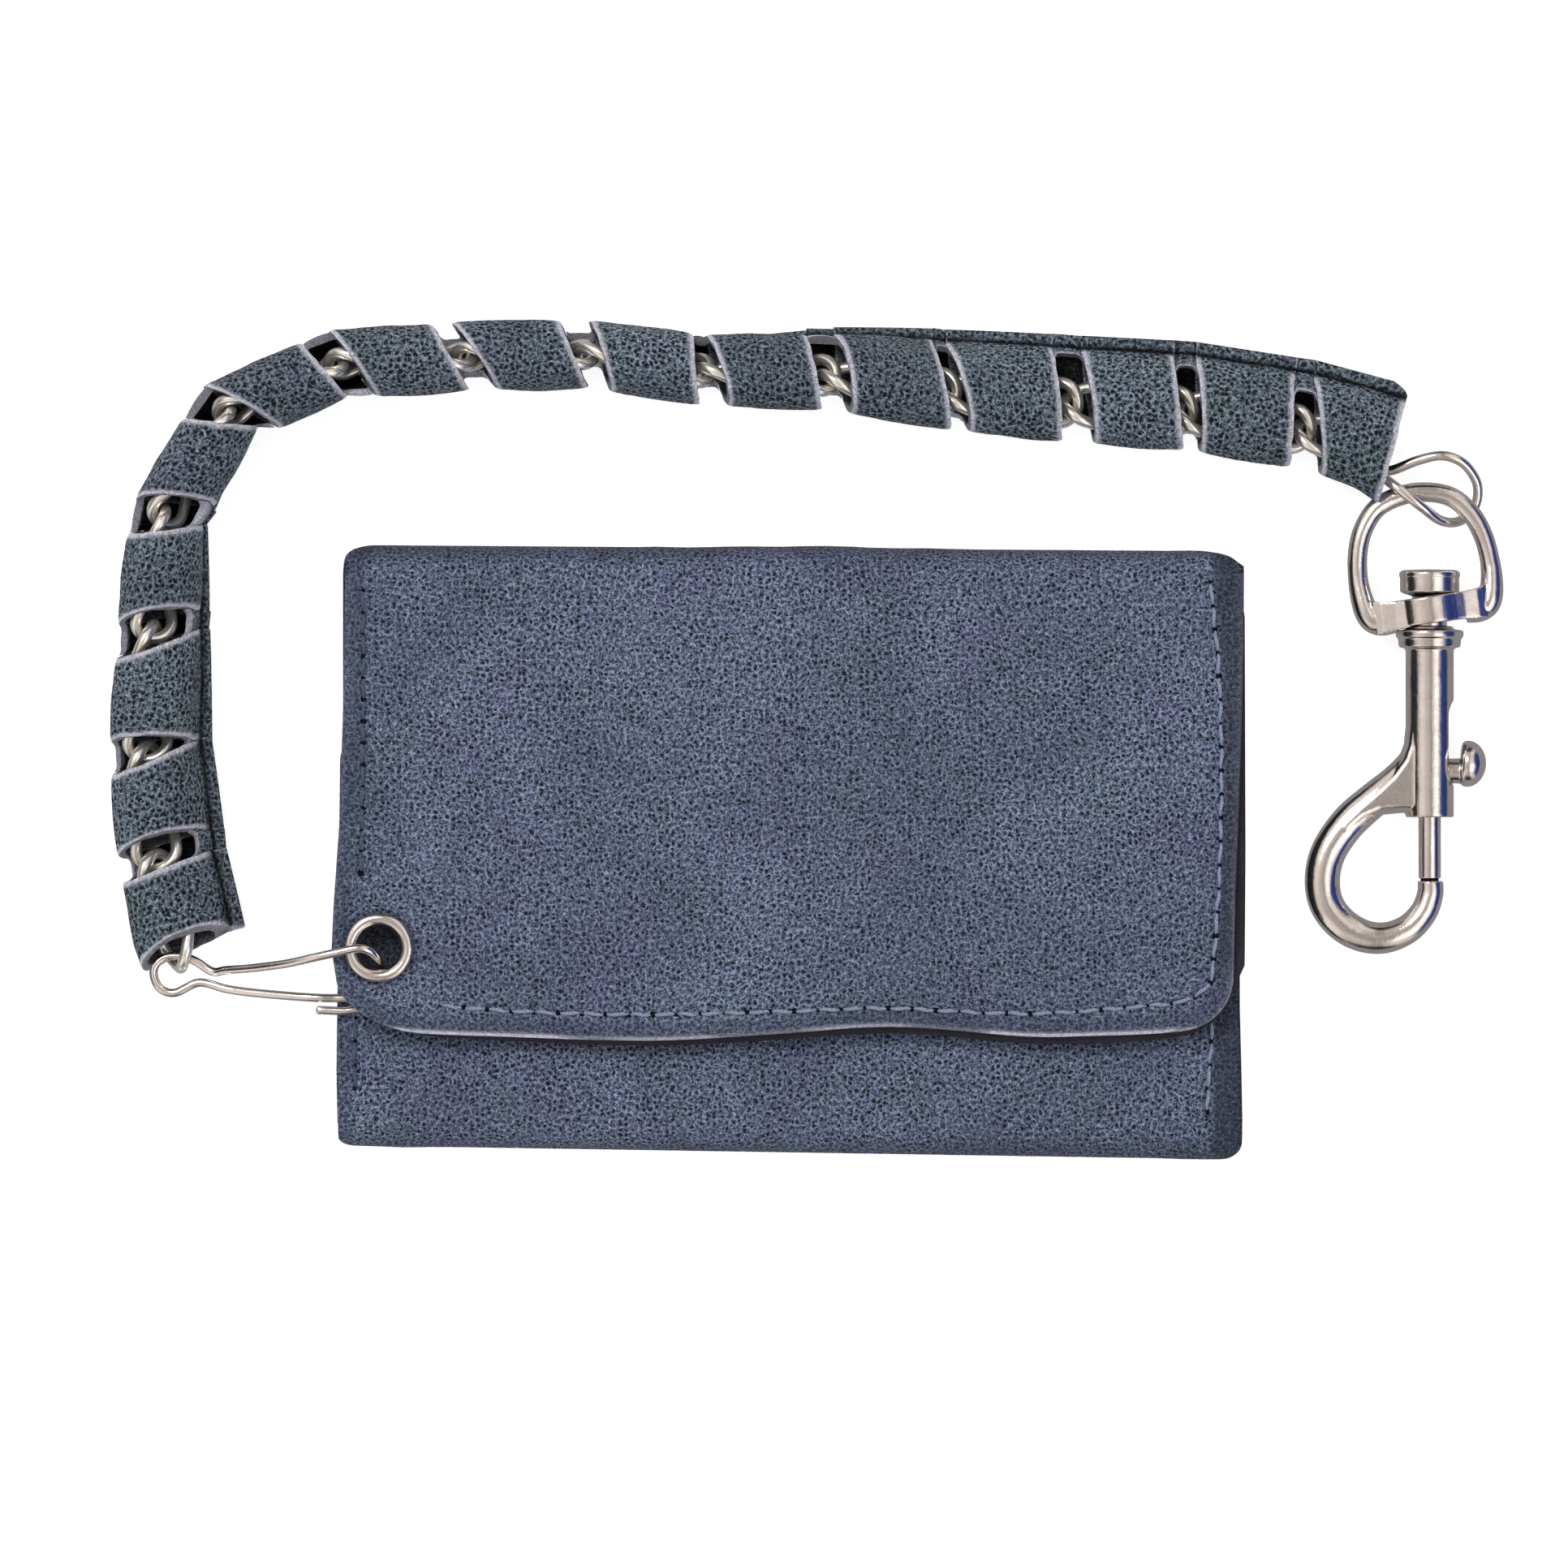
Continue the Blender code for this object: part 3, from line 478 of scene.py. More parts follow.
def leather(name, cell, net, pore, tints, cell_scale, pore_size, net_width, pore_share,
            bump, seed=0.0):
    """Pebbled leather: a pale net, paled by wear, round dark cells, dark pores and cloudy tints.

    Attributes: uvm is the place on the sheet in mm; press marks pressed margins, dark pulls places
    towards near black (painted shade under the flap's edge, round and under the eyelet, in the seam
    grooves and inside the sleeves, and some darker margins, folds and inner faces), and raw marks
    pale cut edges, with a painted highlight on stretches of the flap's lower edge.
    """
    g = new_material(name)
    place = g.shift(g.attribute("uvm", "Vector"), (seed, seed * 0.6, 0.0))
    press, dark, raw = g.attribute("press"), g.attribute("dark"), g.attribute("raw")

    def noise2(offset, scale, detail=2.0, rough=0.5, distort=0.0, output="Fac"):
        spot = g.shift(place, (offset, offset * 0.37, 0.0))
        return g.noise(spot, scale, detail, rough, distort, "2D", output)

    wander = noise2(offset=3.0, scale=1.1, rough=0.6, output="Color")
    warp = g.vector("MULTIPLY_ADD", wander, (0.5, 0.5, 0.0), place)

    # coarse cells; some of them, more in some patches, hold a pore of random size
    cells = g.voronoi(warp, cell_scale, "F1", "2D")
    edge = g.voronoi(warp, cell_scale, "DISTANCE_TO_EDGE", "2D").outputs["Distance"]
    pick = g.node("ShaderNodeSeparateColor", Color=cells.outputs["Color"])
    patch = noise2(offset=61.0, scale=0.10)
    chance = g.plus(pick.outputs[0], g.times(g.minus(patch, 0.5), 0.7))
    has_pore = g.rise(chance, pore_share, pore_share + 0.10)
    radius = g.math("MULTIPLY_ADD", pick.outputs[1], pore_size * 0.5, pore_size * 0.62)
    wobble = g.times(g.minus(noise2(offset=9.0, scale=2.8, detail=1.0), 0.5), 0.18)
    reach = g.math("DIVIDE", g.plus(cells.outputs["Distance"], wobble), radius)
    coarse_pores = g.times(g.fall(reach, 0.55, 1.0), has_pore)

    # fine cells
    fine_scale = cell_scale * 1.9
    fine_warp = g.shift(warp, (41.0, 17.0, 0.0))
    fine_edge = g.voronoi(fine_warp, fine_scale, "DISTANCE_TO_EDGE", "2D").outputs["Distance"]
    fine_cells = g.voronoi(fine_warp, fine_scale, "F1", "2D")
    fine_pick = g.node("ShaderNodeSeparateColor", Color=fine_cells.outputs["Color"]).outputs[0]
    fine_pores = g.times(g.fall(fine_cells.outputs["Distance"], 0.16, 0.34),
                         g.ramp(fine_pick, [(0.5, 0.0), (0.6, 0.8)]))
    pores = g.math("MAXIMUM", coarse_pores, g.times(fine_pores, 0.75))
    pores = g.times(pores, g.minus(1.0, g.times(press, 0.5)))

    # pale net between the cells, broken here and there, with brighter sparks that are a painted
    # glint
    coarse_net = g.ramp(edge, [(0.0, 1.0), (net_width, 0.62), (net_width * 2.4, 0.0)])
    fine_net = g.ramp(fine_edge, [(0.0, 1.0), (net_width * 1.2, 0.5), (net_width * 2.2, 0.0)])
    broken = g.ramp(noise2(offset=23.0, scale=1.9, rough=0.65), [(0.34, 0.12), (0.62, 1.0)])
    net_lines = g.math("MAXIMUM", g.times(coarse_net, 0.9), g.times(fine_net, 0.72))
    net_lines = g.times(net_lines, broken)
    spark = g.rise(noise2(offset=77.0, scale=2.6, rough=0.7), 0.60, 0.74)

    # large clouds: one strengthens the net, two carry the tints
    cloud = g.rise(noise2(0.0, scale=0.045, detail=3.0, rough=0.6, distort=0.5), 0.32, 0.68)
    tint_clouds = [g.rise(noise2(31.0, scale=0.085, distort=0.4), 0.52, 0.74),
                   g.rise(noise2(57.0, scale=0.11, distort=0.4), 0.54, 0.76)]
    mottle = noise2(offset=5.0, scale=0.9, detail=3.0, rough=0.6)
    cell_colour = g.mix(mottle, shade(cell, 0.62), shade(cell, 1.42))
    amount = g.times(net_lines, g.math("MULTIPLY_ADD", cloud, 0.32, 0.64))
    amount = g.times(amount, g.minus(1.0, g.times(press, 0.42)))
    colour = g.mix(amount, cell_colour, net)
    colour = g.mix(g.times(g.times(spark, amount), 0.75), colour, shade(net, 1.9))
    for tint_cloud, tint in zip(tint_clouds, tints):
        colour = g.mix(g.times(tint_cloud, 0.8), colour, g.mix(1.0, colour, tint, "MULTIPLY"))
    colour = g.mix(g.times(pores, 0.96), colour, pore)
    colour = g.mix(g.times(press, 0.25), colour, shade(cell, 0.55))
    fibre = g.noise(g.coords_mm(), scale=3.2, detail=3.0, rough=0.7)
    raw_colour = g.mix(g.rise(fibre, 0.3, 0.7), srgb(158, 160, 180), srgb(236, 234, 244))
    colour = g.mix(raw, colour, raw_colour)
    # dark pulls the colour to near black: painted shade in grooves, hollows and under parts, and
    # darker margins, folds and inner faces
    colour = g.mix(g.times(dark, 0.96), colour, srgb(8, 8, 13))

    rough = g.plus(0.60, g.times(pores, 0.25))
    rough = g.minus(rough, g.times(amount, 0.12))
    g.surface(Base_Color=colour, Roughness=g.plus(rough, g.times(raw, 0.25)),
              Specular_IOR_Level=0.30)
    height = g.plus(g.times(coarse_net, 0.5), g.times(fine_net, 0.35))
    height = g.minus(height, g.times(pores, 1.0))
    g.bump(height, strength=bump, distance=0.00018)
    return g.material


def lining(name, dark_colour, light_colour):
    """Dark smooth leather with fine creases."""
    g = new_material(name)
    place = g.shift(g.coords_mm(), (0.0, 0.0, 0.0))
    cloud = g.noise(place, scale=0.12, detail=3.0, rough=0.6)
    grain = g.voronoi(place, 2.2, "DISTANCE_TO_EDGE").outputs["Distance"]
    lines = g.fall(grain, 0.0, 0.09)
    colour = g.mix(g.rise(cloud, 0.3, 0.7), dark_colour, light_colour)
    colour = g.mix(g.times(lines, 0.45), colour, srgb(12, 12, 18))
    colour = g.mix(g.times(g.attribute("raw"), 0.5), colour, srgb(70, 70, 84))
    g.surface(Base_Color=colour, Roughness=g.plus(0.5, g.times(lines, 0.2)),
              Specular_IOR_Level=0.35)
    height = g.minus(g.times(g.noise(place, scale=4.0), 0.4), lines)
    g.bump(height, strength=0.4, distance=0.0001)
    return g.material


def nickel(name, tint=(0.80, 0.765, 0.735), rough=0.13, wear=1.0, seed=0.0, metal=1.0):
    """Polished metal with faint waviness, smudges, spots and hairline scratches."""
    g = new_material(name)
    place = g.shift(g.coords_mm(), (seed, seed, seed))
    smudge = g.noise(place, scale=0.35, detail=3.0, rough=0.6)
    stretched = g.vector("MULTIPLY", place, (6.0, 0.6, 6.0))
    scratch = g.noise(stretched, scale=1.2, detail=4.0, rough=0.7)
    spots = g.rise(g.noise(place, scale=1.6, detail=3.0, rough=0.7), 0.66, 0.74)
    wear_and_shade = (tint[0] * 0.72, tint[1] * 0.66, tint[2] * 0.62, 1)
    colour = g.mix(g.times(g.rise(smudge, 0.4, 0.8), 0.45), (*tint, 1), wear_and_shade)
    colour = g.mix(g.times(spots, 0.35 * wear), colour, (0.20, 0.17, 0.15, 1))
    gloss = g.plus(g.plus(rough, g.times(smudge, 0.10)), g.times(spots, 0.15))
    g.surface(Base_Color=colour, Metallic=metal, Roughness=gloss)
    height = g.plus(g.times(smudge, 1.0), g.times(scratch, 0.12))
    g.bump(height, strength=0.25 * wear, distance=0.00025)
    return g.material


def thread(name, dark_colour, light_colour):
    """Waxed thread with slanting plies."""
    g = new_material(name)
    ply = g.node("ShaderNodeTexWave",
                 props={"wave_type": "BANDS", "bands_direction": "DIAGONAL"},
                 Vector=g.coords_mm(), Scale=1.4, Distortion=1.5, Detail=1.0).outputs["Fac"]
    g.surface(Base_Color=g.mix(ply, dark_colour, light_colour), Roughness=0.75)
    g.bump(ply, strength=0.5, distance=0.0001)
    return g.material


# near-black material that stands in for shade: painted shade in the stitch holes and in the gap at
# the plunger's nose
def hole_dark(name):
    g = new_material(name)
    speckle = g.noise(g.coords_mm(), scale=3.0)
    g.surface(Base_Color=g.mix(speckle, srgb(6, 6, 10), srgb(22, 22, 30)),
              Roughness=0.9, Specular_IOR_Level=0.1)
    return g.material


WALLET = leather("wallet_leather", cell=srgb(38, 46, 70), net=srgb(163, 179, 212),
                 pore=srgb(7, 7, 18), tints=[srgb(252, 238, 252), srgb(242, 252, 242)],
                 cell_scale=1.34, pore_size=0.34, net_width=0.10, pore_share=0.50, bump=0.6)
STRAP = leather("strap_leather", cell=srgb(25, 33, 42), net=srgb(166, 184, 204),
                pore=srgb(2, 3, 6), tints=[srgb(245, 234, 250), srgb(236, 250, 234)],
                cell_scale=1.26, pore_size=0.40, net_width=0.12, pore_share=0.24, bump=0.9,
                seed=240.0)
# the lining is kept near black so that its strip under the flap's edge reads as painted shade
LINING = lining("lining_leather", srgb(15, 14, 24), srgb(33, 31, 50))
NICKEL = nickel("nickel_cast", rough=0.12)
WIRE = nickel("nickel_wire", tint=(0.88, 0.85, 0.82), rough=0.12, wear=0.5, seed=9.0)
CHAIN = nickel("nickel_chain", tint=(1.0, 0.975, 0.90), rough=0.17, wear=0.3, seed=21.0,
               metal=0.82)
STEEL = nickel("spring_steel", tint=(0.6, 0.6, 0.6), rough=0.25, wear=0.5, seed=33.0)
THREAD = thread("waxed_thread", srgb(112, 122, 150), srgb(160, 168, 190))
THREAD_DULL = thread("waxed_thread_dull", srgb(58, 66, 90), srgb(88, 98, 124))
PIT = hole_dark("stitch_hole_shade")

# =====================================================================
# wallet: key positions come from the CAD boxes and joints
# =====================================================================
FLAP_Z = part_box("flap_panel")[1][2] / MM
front_high = Vector(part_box("front_panel")[1]) / MM
FRONT_Z, FRONT_TOP = front_high.z, front_high.y
BACK_L, BACK_R = [(Vector(corner) / MM).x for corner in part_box("back_panel")]
FLAP_Z = (Vector(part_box("flap_panel")[1]) / MM).z
FLAP_ROOT = JOINTS["flap_fold"]["pos_m"][1] / MM
FRONT_ROOT = JOINTS["front_fold"]["pos_m"][1] / MM
EYE_X, EYE_Y = (JOINTS["ring_swing"]["pos_m"][k] / MM for k in (0, 1))
THICKNESS = 1.3

# row and column spacing next to the edges: rows in mm, columns as a share of the width
ROW_EDGE = [0.12, 0.16, 0.22, 0.3, 0.4]
COLUMN_EDGE = [0.0011, 0.0015, 0.002, 0.0028, 0.0036]
LINING_EDGE = [0.0012, 0.002, 0.003]

# stitch lines (x, y)
PITCH = 2.97
FLAP_LINE = catmull([
    (53.0, 34.3), (53.3, 30.5), (54.0, 24.0), (54.4, 12.0), (54.2, -2.0), (53.7, -10.0),
    (53.3, -15.4), (52.5, -17.7), (50.2, -18.9), (47.4, -19.4), (44.0, -19.7), (30.0, -20.6),
    (12.0, -19.9), (0.0, -20.3), (-18.0, -20.7), (-34.0, -20.3), (-46.0, -19.4)], 12)
FLAP_LEFT_LINE = catmull([(-53.6, 33.0), (-53.5, 24.0), (-53.6, 10.0), (-53.9, -5.0)], 10)
FRONT_RIGHT_LINE = catmull([(53.4, -21.0), (53.2, -26.0), (52.8, -31.0), (52.9, -35.2)], 8)
FRONT_LEFT_LINE = catmull([(-54.6, -21.0), (-54.8, -26.0), (-54.7, -31.0), (-54.9, -34.6)], 8)
flap_holes = walk(FLAP_LINE, PITCH, 0.6)
flap_left_holes = walk(FLAP_LEFT_LINE, PITCH * 0.92, 0.4)
front_right_holes = walk(FRONT_RIGHT_LINE, PITCH, 0.2)
front_left_holes = walk(FRONT_LEFT_LINE, PITCH, 0.2)

# free lower edge of the flap (x, y)
FLAP_LOW = catmull([
    (-58.0, -21.9), (-51.0, -22.55), (-46.2, -23.1), (-35.6, -23.5), (-17.6, -24.0),
    (-2.0, -23.2), (13.1, -22.25), (29.6, -23.45), (38.0, -23.4), (46.2, -23.1),
    (52.0, -22.6), (58.0, -22.4)], 6)
FLAP_LOWEST = -24.0
# side edges (y, x)
FLAP_LEFT = [(-24, -55.9), (-19.5, -56.0), (-16.8, -56.9), (-12.5, -57.55), (-7.0, -57.3),
             (3.0, -56.6), (18.0, -56.1), (34.9, -55.8)]
FLAP_RIGHT = [(-24, 56.0), (-17.0, 55.9), (-6.0, 56.15), (5.0, 56.6), (15.0, 56.95),
              (25.0, 57.2), (34.0, 57.25)]
FRONT_LEFT = [(-36, -56.95), (-28, -57.1), (-20, -57.0), (15, -56.6)]
FRONT_RIGHT = [(-36, 57.25), (-28, 57.1), (-20, 56.9), (15, 56.8)]
# sideways inset of the top fold's ends; the first column is 1 at its outermost point
FOLD_INSET_LEFT = [(0.0, 0.0), (0.5, 0.1), (0.75, 0.6), (0.9, 1.2), (1.0, 2.2)]
FOLD_INSET_RIGHT = [(0.0, 0.0), (0.38, 0.0), (0.62, 0.9), (0.82, 2.1), (0.94, 3.2), (1.0, 4.2)]


def flap_low(x):
    return look_up(x, FLAP_LOW)


def nearest(x, y, targets):
    """Distance from each place to the nearest target, worked out in small batches."""
    places = np.stack([x.ravel(), y.ravel()], axis=1)
    best = np.full(len(places), 1e9)
    for k in range(0, len(targets), 40):
        gaps = places[:, None, :] - targets[None, k:k + 40, :]
        best = np.minimum(best, np.linalg.norm(gaps, axis=2).min(axis=1))
    return best.reshape(x.shape)


def seam_distance(x, y, lines, flat):
    """Distance to the stitch lines, 9 on the folds."""
    distance = np.minimum(*(nearest(x, y, walk(line, 0.7)) for line in lines))
    distance[flat == 0] = 9
    return distance


def dimples(x, y, holes):
    """Depth of the dents pressed in round the stitch holes."""
    out = np.zeros(x.shape)
    depth, radius = 0.32, 0.75
    for hole_x, hole_y in holes:
        near = (np.abs(x - hole_x) < 2) & (np.abs(y - hole_y) < 2)
        gap2 = (x[near] - hole_x) ** 2 + (y[near] - hole_y) ** 2
        out[near] += depth * np.exp(-gap2 / (radius * radius * 0.5))
    return out


def edge_drop(distance, depth=0.42, radius=0.34):
    """How far a sheet's surface has rounded off near its edge."""
    return depth * np.exp(-np.maximum(distance, 0) / radius)


def side_distances(x):
    return x - x[:, :1], x[:, -1:] - x


def corner_inset(distance, across, up):
    """Sideways inset of a rounded corner at a distance from the edge that it meets."""
    t = np.clip((up - distance) / up, 0, 1)
    return across * (1 - np.sqrt(np.clip(1 - t * t, 0, 1)))


def top_fold_ends(turn, to_back):
    left = FLAP_LEFT[-1][1] + look_up(turn, FOLD_INSET_LEFT)
    right = FLAP_RIGHT[-1][1] - look_up(turn, FOLD_INSET_RIGHT)
    return lerp(left, BACK_L, to_back), lerp(right, BACK_R, to_back)


def bottom_fold_ends(turn, to_back):
    depth = 3.5 * (1 - turn)
    return (lerp(-56.9, BACK_L, to_back) + corner_inset(depth, 0.9, 0.9),
            lerp(57.2, BACK_R, to_back) - corner_inset(depth, 1.7, 1.7))


# root: y where the fold starts; out: its direction along y; bulge: at the left and the right
Fold = namedtuple("Fold", "root out height bulge ends")
TOP_FOLD = Fold(FLAP_ROOT, 1, FLAP_Z, (3.6, 2.8), top_fold_ends)
BOTTOM_FOLD = Fold(FRONT_ROOT, -1, FRONT_Z, (2.9, 4.7), bottom_fold_ends)


def fold_row(fold, angle, columns, face=1):
    """Points and normals across a fold; angle 0 is its outermost line, face 1 its upper half."""
    cos, sin = math.cos(angle), math.sin(angle)
    left, right = fold.ends(cos, sin if face < 0 else 0.0)
    x = lerp(left, right, columns)
    bulge = lerp(*fold.bulge, np.clip((x - BACK_L) / (BACK_R - BACK_L), 0, 1))
    half = fold.height / 2
    y = fold.root + fold.out * bulge * cos
    z = np.full(len(x), half + face * half * sin)
    normal_y, normal_z = fold.out * half * cos, face * bulge * sin
    length = np.hypot(normal_y, normal_z)
    return (np.stack([x, y, z], axis=1),
            np.stack([np.zeros(len(x)), normal_y / length, normal_z / length], axis=1))


def flat_row(x, y, z, face=1.0):
    return np.stack(np.broadcast_arrays(x, y, z), axis=1), np.tile([0.0, 0.0, face], (len(x), 1))


def panel_grids(fold_rows, flat_rows):
    """Grids of points and normals, and a mask that is 1 off the fold."""
    top, normal = (np.array(part) for part in zip(*(fold_rows + flat_rows)))
    flat = np.zeros(top.shape[:2])
    flat[len(fold_rows):] = 1
    return top, normal, flat


def both_faces(upper, lower):
    return np.concatenate([upper.ravel(), np.broadcast_to(lower, upper.shape).ravel()])


def wallet_panel(name, top, outer, inner, raw, press, dark, uv_origin=(0.0, 0.0)):
    """Leather shell; each attribute is a pair for its outer and inner face."""
    attrs = {"raw": both_faces(*raw), "press": both_faces(*press), "dark": both_faces(*dark)}
    run = run_length(top[:, top.shape[1] // 2])
    uv = np.stack([top[..., 0], np.tile(run[:, None], (1, top.shape[1]))], axis=2)
    uv = uv.reshape(-1, 2) + np.array(uv_origin)
    return solid(name, shell(outer, inner), WALLET, attrs, uvm=np.concatenate([uv, uv]))


def eyelet_hole(obj, radius, low, high):
    hole = lathe(cylinder(radius, low, high), 48, (EYE_X, EYE_Y, 0), UP)
    cut_away(obj, [solid("eyelet_cut", hole, PIT)])


# ------------------------------------------------ flap with the top fold
def flap_row(t, columns):
    """Row of the flap, t = 0 at its root and 1 at its free edge."""
    x = lerp(-57.0, 56.5, columns)
    # the sides and the lower edge depend on each other: settle them in a few rounds
    for _ in range(3):
        y = lerp(FLAP_ROOT, flap_low(x), t)
        above = y - flap_low(x)
        left = look_up(y[0], FLAP_LEFT) + corner_inset(above[0], 9.5, 4.6)
        right = look_up(y[-1], FLAP_RIGHT) - corner_inset(above[-1], 6.6, 6.4)
        x = lerp(left, right, columns)
    return flat_row(x, y, FLAP_Z)


def build_flap():
    columns = graded(1.0, COLUMN_EDGE, 0.0049)
    rows = graded(FLAP_ROOT - FLAP_LOWEST, ROW_EDGE, 0.52)
    rows = rows[rows > 0.05]
    arc = np.radians(np.linspace(0, 90, 26))
    top, normal, flat = panel_grids([fold_row(TOP_FOLD, a, columns) for a in arc],
                                    [flap_row(t, columns) for t in rows / rows[-1]])
    x, y = top[..., 0], top[..., 1]

    # distance to the free edges, exact near the rounded lower corners
    from_left, from_right = side_distances(x)
    from_low = np.where(flat > 0, y - flap_low(x), 99)
    from_edge = np.minimum(np.minimum(from_left, from_right), np.maximum(from_low, 0))
    sheet = top[len(arc):, :, :2]
    rim = np.concatenate([sheet[:, 0], sheet[-1], sheet[:, -1]])
    corner = (y < -15) & ((x < -46) | (x > 48))
    from_edge[corner] = np.minimum(nearest(x[corner], y[corner], rim), 9)
    from_seam = seam_distance(x, y, (FLAP_LINE, FLAP_LEFT_LINE), flat)
    from_eye = np.hypot(x - EYE_X, y - EYE_Y)

    # relief: slow waves, the groove of the seam, the thinner margin, the edges and the holes
    height = 0.30 * ripple(x, y, 21.0, 1.7) + 0.14 * ripple(x, y, 7.5, 5.1)
    height += 0.035 * ripple(x, y, 1.9, 8.3)
    height -= 0.26 * np.exp(-(from_seam / 0.75) ** 2)
    height -= 0.16 * smoothstep(0.0, 3.0, 3.3 - np.minimum(from_edge, 9)) * flat
    height *= np.clip(0.35 + from_edge / 6.0, 0, 1)
    height -= edge_drop(from_edge)
    height -= dimples(x, y, np.concatenate([flap_holes, flap_left_holes])) * flat
    # level under the eyelet, with a pressed ring round it
    height = lerp(height, 0.0, (1 - smoothstep(4.3, 6.5, from_eye)) * flat)
    height -= 0.22 * np.exp(-((from_eye - 4.35) / 0.5) ** 2) * flat
    outer = top + normal * height[..., None]
    thick = THICKNESS - edge_drop(from_edge, 0.3, 0.3)
    inner = top - normal * thick[..., None]

    # pale raw edge along parts of the lower rim, fainter on the sides; its brightest stretches are a
    # painted highlight where the edge catches the light
    low_x = x[-1]
    patchy = 0.35 + 0.65 * smoothstep(-0.05, 0.25, ripple(low_x, 3.0, 9.0, 2.2))
    bright = np.where((low_x > 25) & (low_x < 47), 0.95, patchy * 0.6)
    bright = np.where((low_x < -27) & (low_x > -54), 1.0, bright)
    raw = (1 - smoothstep(0.22, 0.62, from_low)) * flat * bright
    side = np.maximum(np.exp(-from_right / 0.3) * 0.35, np.exp(-from_left / 0.3) * 0.12)
    raw = np.clip(np.maximum(raw, side * flat), 0, 1)
    raw_inner = bright * 0.5 * np.exp(-np.maximum(from_low, 0) / 0.34)

    # margins pressed and darkened, most of all outside the right seam
    seam_x = look_up(y, [(-16, 53.3), (-10, 53.8), (0, 54.3), (12, 54.4), (24, 54.0),
                         (33, 53.2), (38, 52.9)])
    margin = smoothstep(0.1, 0.7, x - seam_x) * smoothstep(-17.5, -13.0, y)
    press = np.clip(np.maximum(smoothstep(3.1, 1.6, from_edge) * 0.75, margin * 0.85), 0, 1)
    up_fold = np.where(flat > 0, 0, (y - FLAP_ROOT) / 3.2)
    # the dark ring just outside the eyelet's rim is painted shade where the rim meets the leather
    dark = np.maximum(0.55 * np.exp(-((from_eye - 4.5) / 0.35) ** 2) * flat, margin * 0.42)
    dark = np.maximum(dark, np.exp(-from_right / 0.45) * smoothstep(-12, -4, y) * 0.85)
    dark = np.maximum(dark, 0.35 * smoothstep(0.25, 1.0, up_fold))

    obj = wallet_panel("flap_leather", top, outer, inner, raw=(raw, raw_inner),
                       press=(press, 0.9), dark=(dark, 0.35))
    eyelet_hole(obj, 3.35, 6, 16)
    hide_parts("flap_panel")
    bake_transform(obj)
    return x, y, outer[..., 2], flat


flap_surface = build_flap()


# ------------------------------------------------ front panel with the bottom fold
def front_row(y, columns):
    inset = corner_inset(FRONT_TOP - y, 3.0, 3.0)
    x = lerp(look_up(y, FRONT_LEFT) + inset, look_up(y, FRONT_RIGHT) - inset, columns)
    return flat_row(x, y, FRONT_Z)


def build_front():
    columns = graded(1.0, COLUMN_EDGE, 0.0049)
    rows = graded(FRONT_TOP - FRONT_ROOT, ROW_EDGE, 0.55)
    rows = rows[rows > 0.05]
    arc = np.radians(np.linspace(0, 90, 22))
    top, normal, flat = panel_grids([fold_row(BOTTOM_FOLD, a, columns) for a in arc],
                                    [front_row(FRONT_ROOT + s, columns) for s in rows])
    x, y = top[..., 0], top[..., 1]
    from_left, from_right = side_distances(x)
    from_top = np.where(flat > 0, FRONT_TOP - y, 99)
    from_edge = np.minimum(np.minimum(from_left, from_right), from_top)
    from_seam = seam_distance(x, y, (FRONT_RIGHT_LINE, FRONT_LEFT_LINE), flat)
    from_eye = np.hypot(x - EYE_X, y - EYE_Y)

    # only the part below the flap can stand proud
    bare = smoothstep(-18.0, -24.5, y)
    height = bare * (0.24 * ripple(x, y, 17.0, 11.7) + 0.12 * ripple(x, y, 6.0, 4.1))
    height += 0.03 * ripple(x, y, 1.8, 3.3)
    height -= 0.24 * np.exp(-(from_seam / 0.75) ** 2) * smoothstep(-20.0, -22.0, y)
    height *= np.clip(0.3 + from_edge / 6.0, 0, 1)
    height -= edge_drop(from_edge, 0.4)
    height -= dimples(x, y, np.concatenate([front_right_holes, front_left_holes])) * flat
    outer = top + normal * height[..., None]
    inner = top - normal * THICKNESS

    press = np.maximum(smoothstep(52.4, 54.4, x) * 0.95, smoothstep(-54.6, -55.8, x) * 0.7)
    press = np.maximum(press, smoothstep(-36.2, -38.4, y) * 0.25)
    # dark along the right margin and down the fold; under the eyelet and along the flap's edge it is
    # painted shade: the shadow seen through the eyelet's hole and the shadow line under the flap
    down_fold = np.where(flat > 0, 0, (FRONT_ROOT - y) / 4.0)
    flap_edge_shadow = np.exp(-((y - flap_low(x)) / 1.3) ** 2) * flat * smoothstep(-53, -46, x)
    dark = smoothstep(53.3, 54.0, x) * 0.42
    dark = np.maximum(dark, np.exp(-from_right / 0.5) * 0.8)
    dark = np.maximum(dark, 0.3 * smoothstep(0.2, 1.0, down_fold))
    dark = np.maximum(dark, 0.78 * (1 - smoothstep(3.0, 4.6, from_eye)) * flat)
    dark = np.maximum(dark, 0.36 * flap_edge_shadow)
    obj = wallet_panel("front_leather", top, outer, inner, raw=(np.zeros(x.shape), 0.0),
                       press=(press, 0.9), dark=(dark, 0.35), uv_origin=(300.0, 90.0))
    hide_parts("front_panel")
    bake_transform(obj)
    return x, y, outer[..., 2], flat


front_surface = build_front()


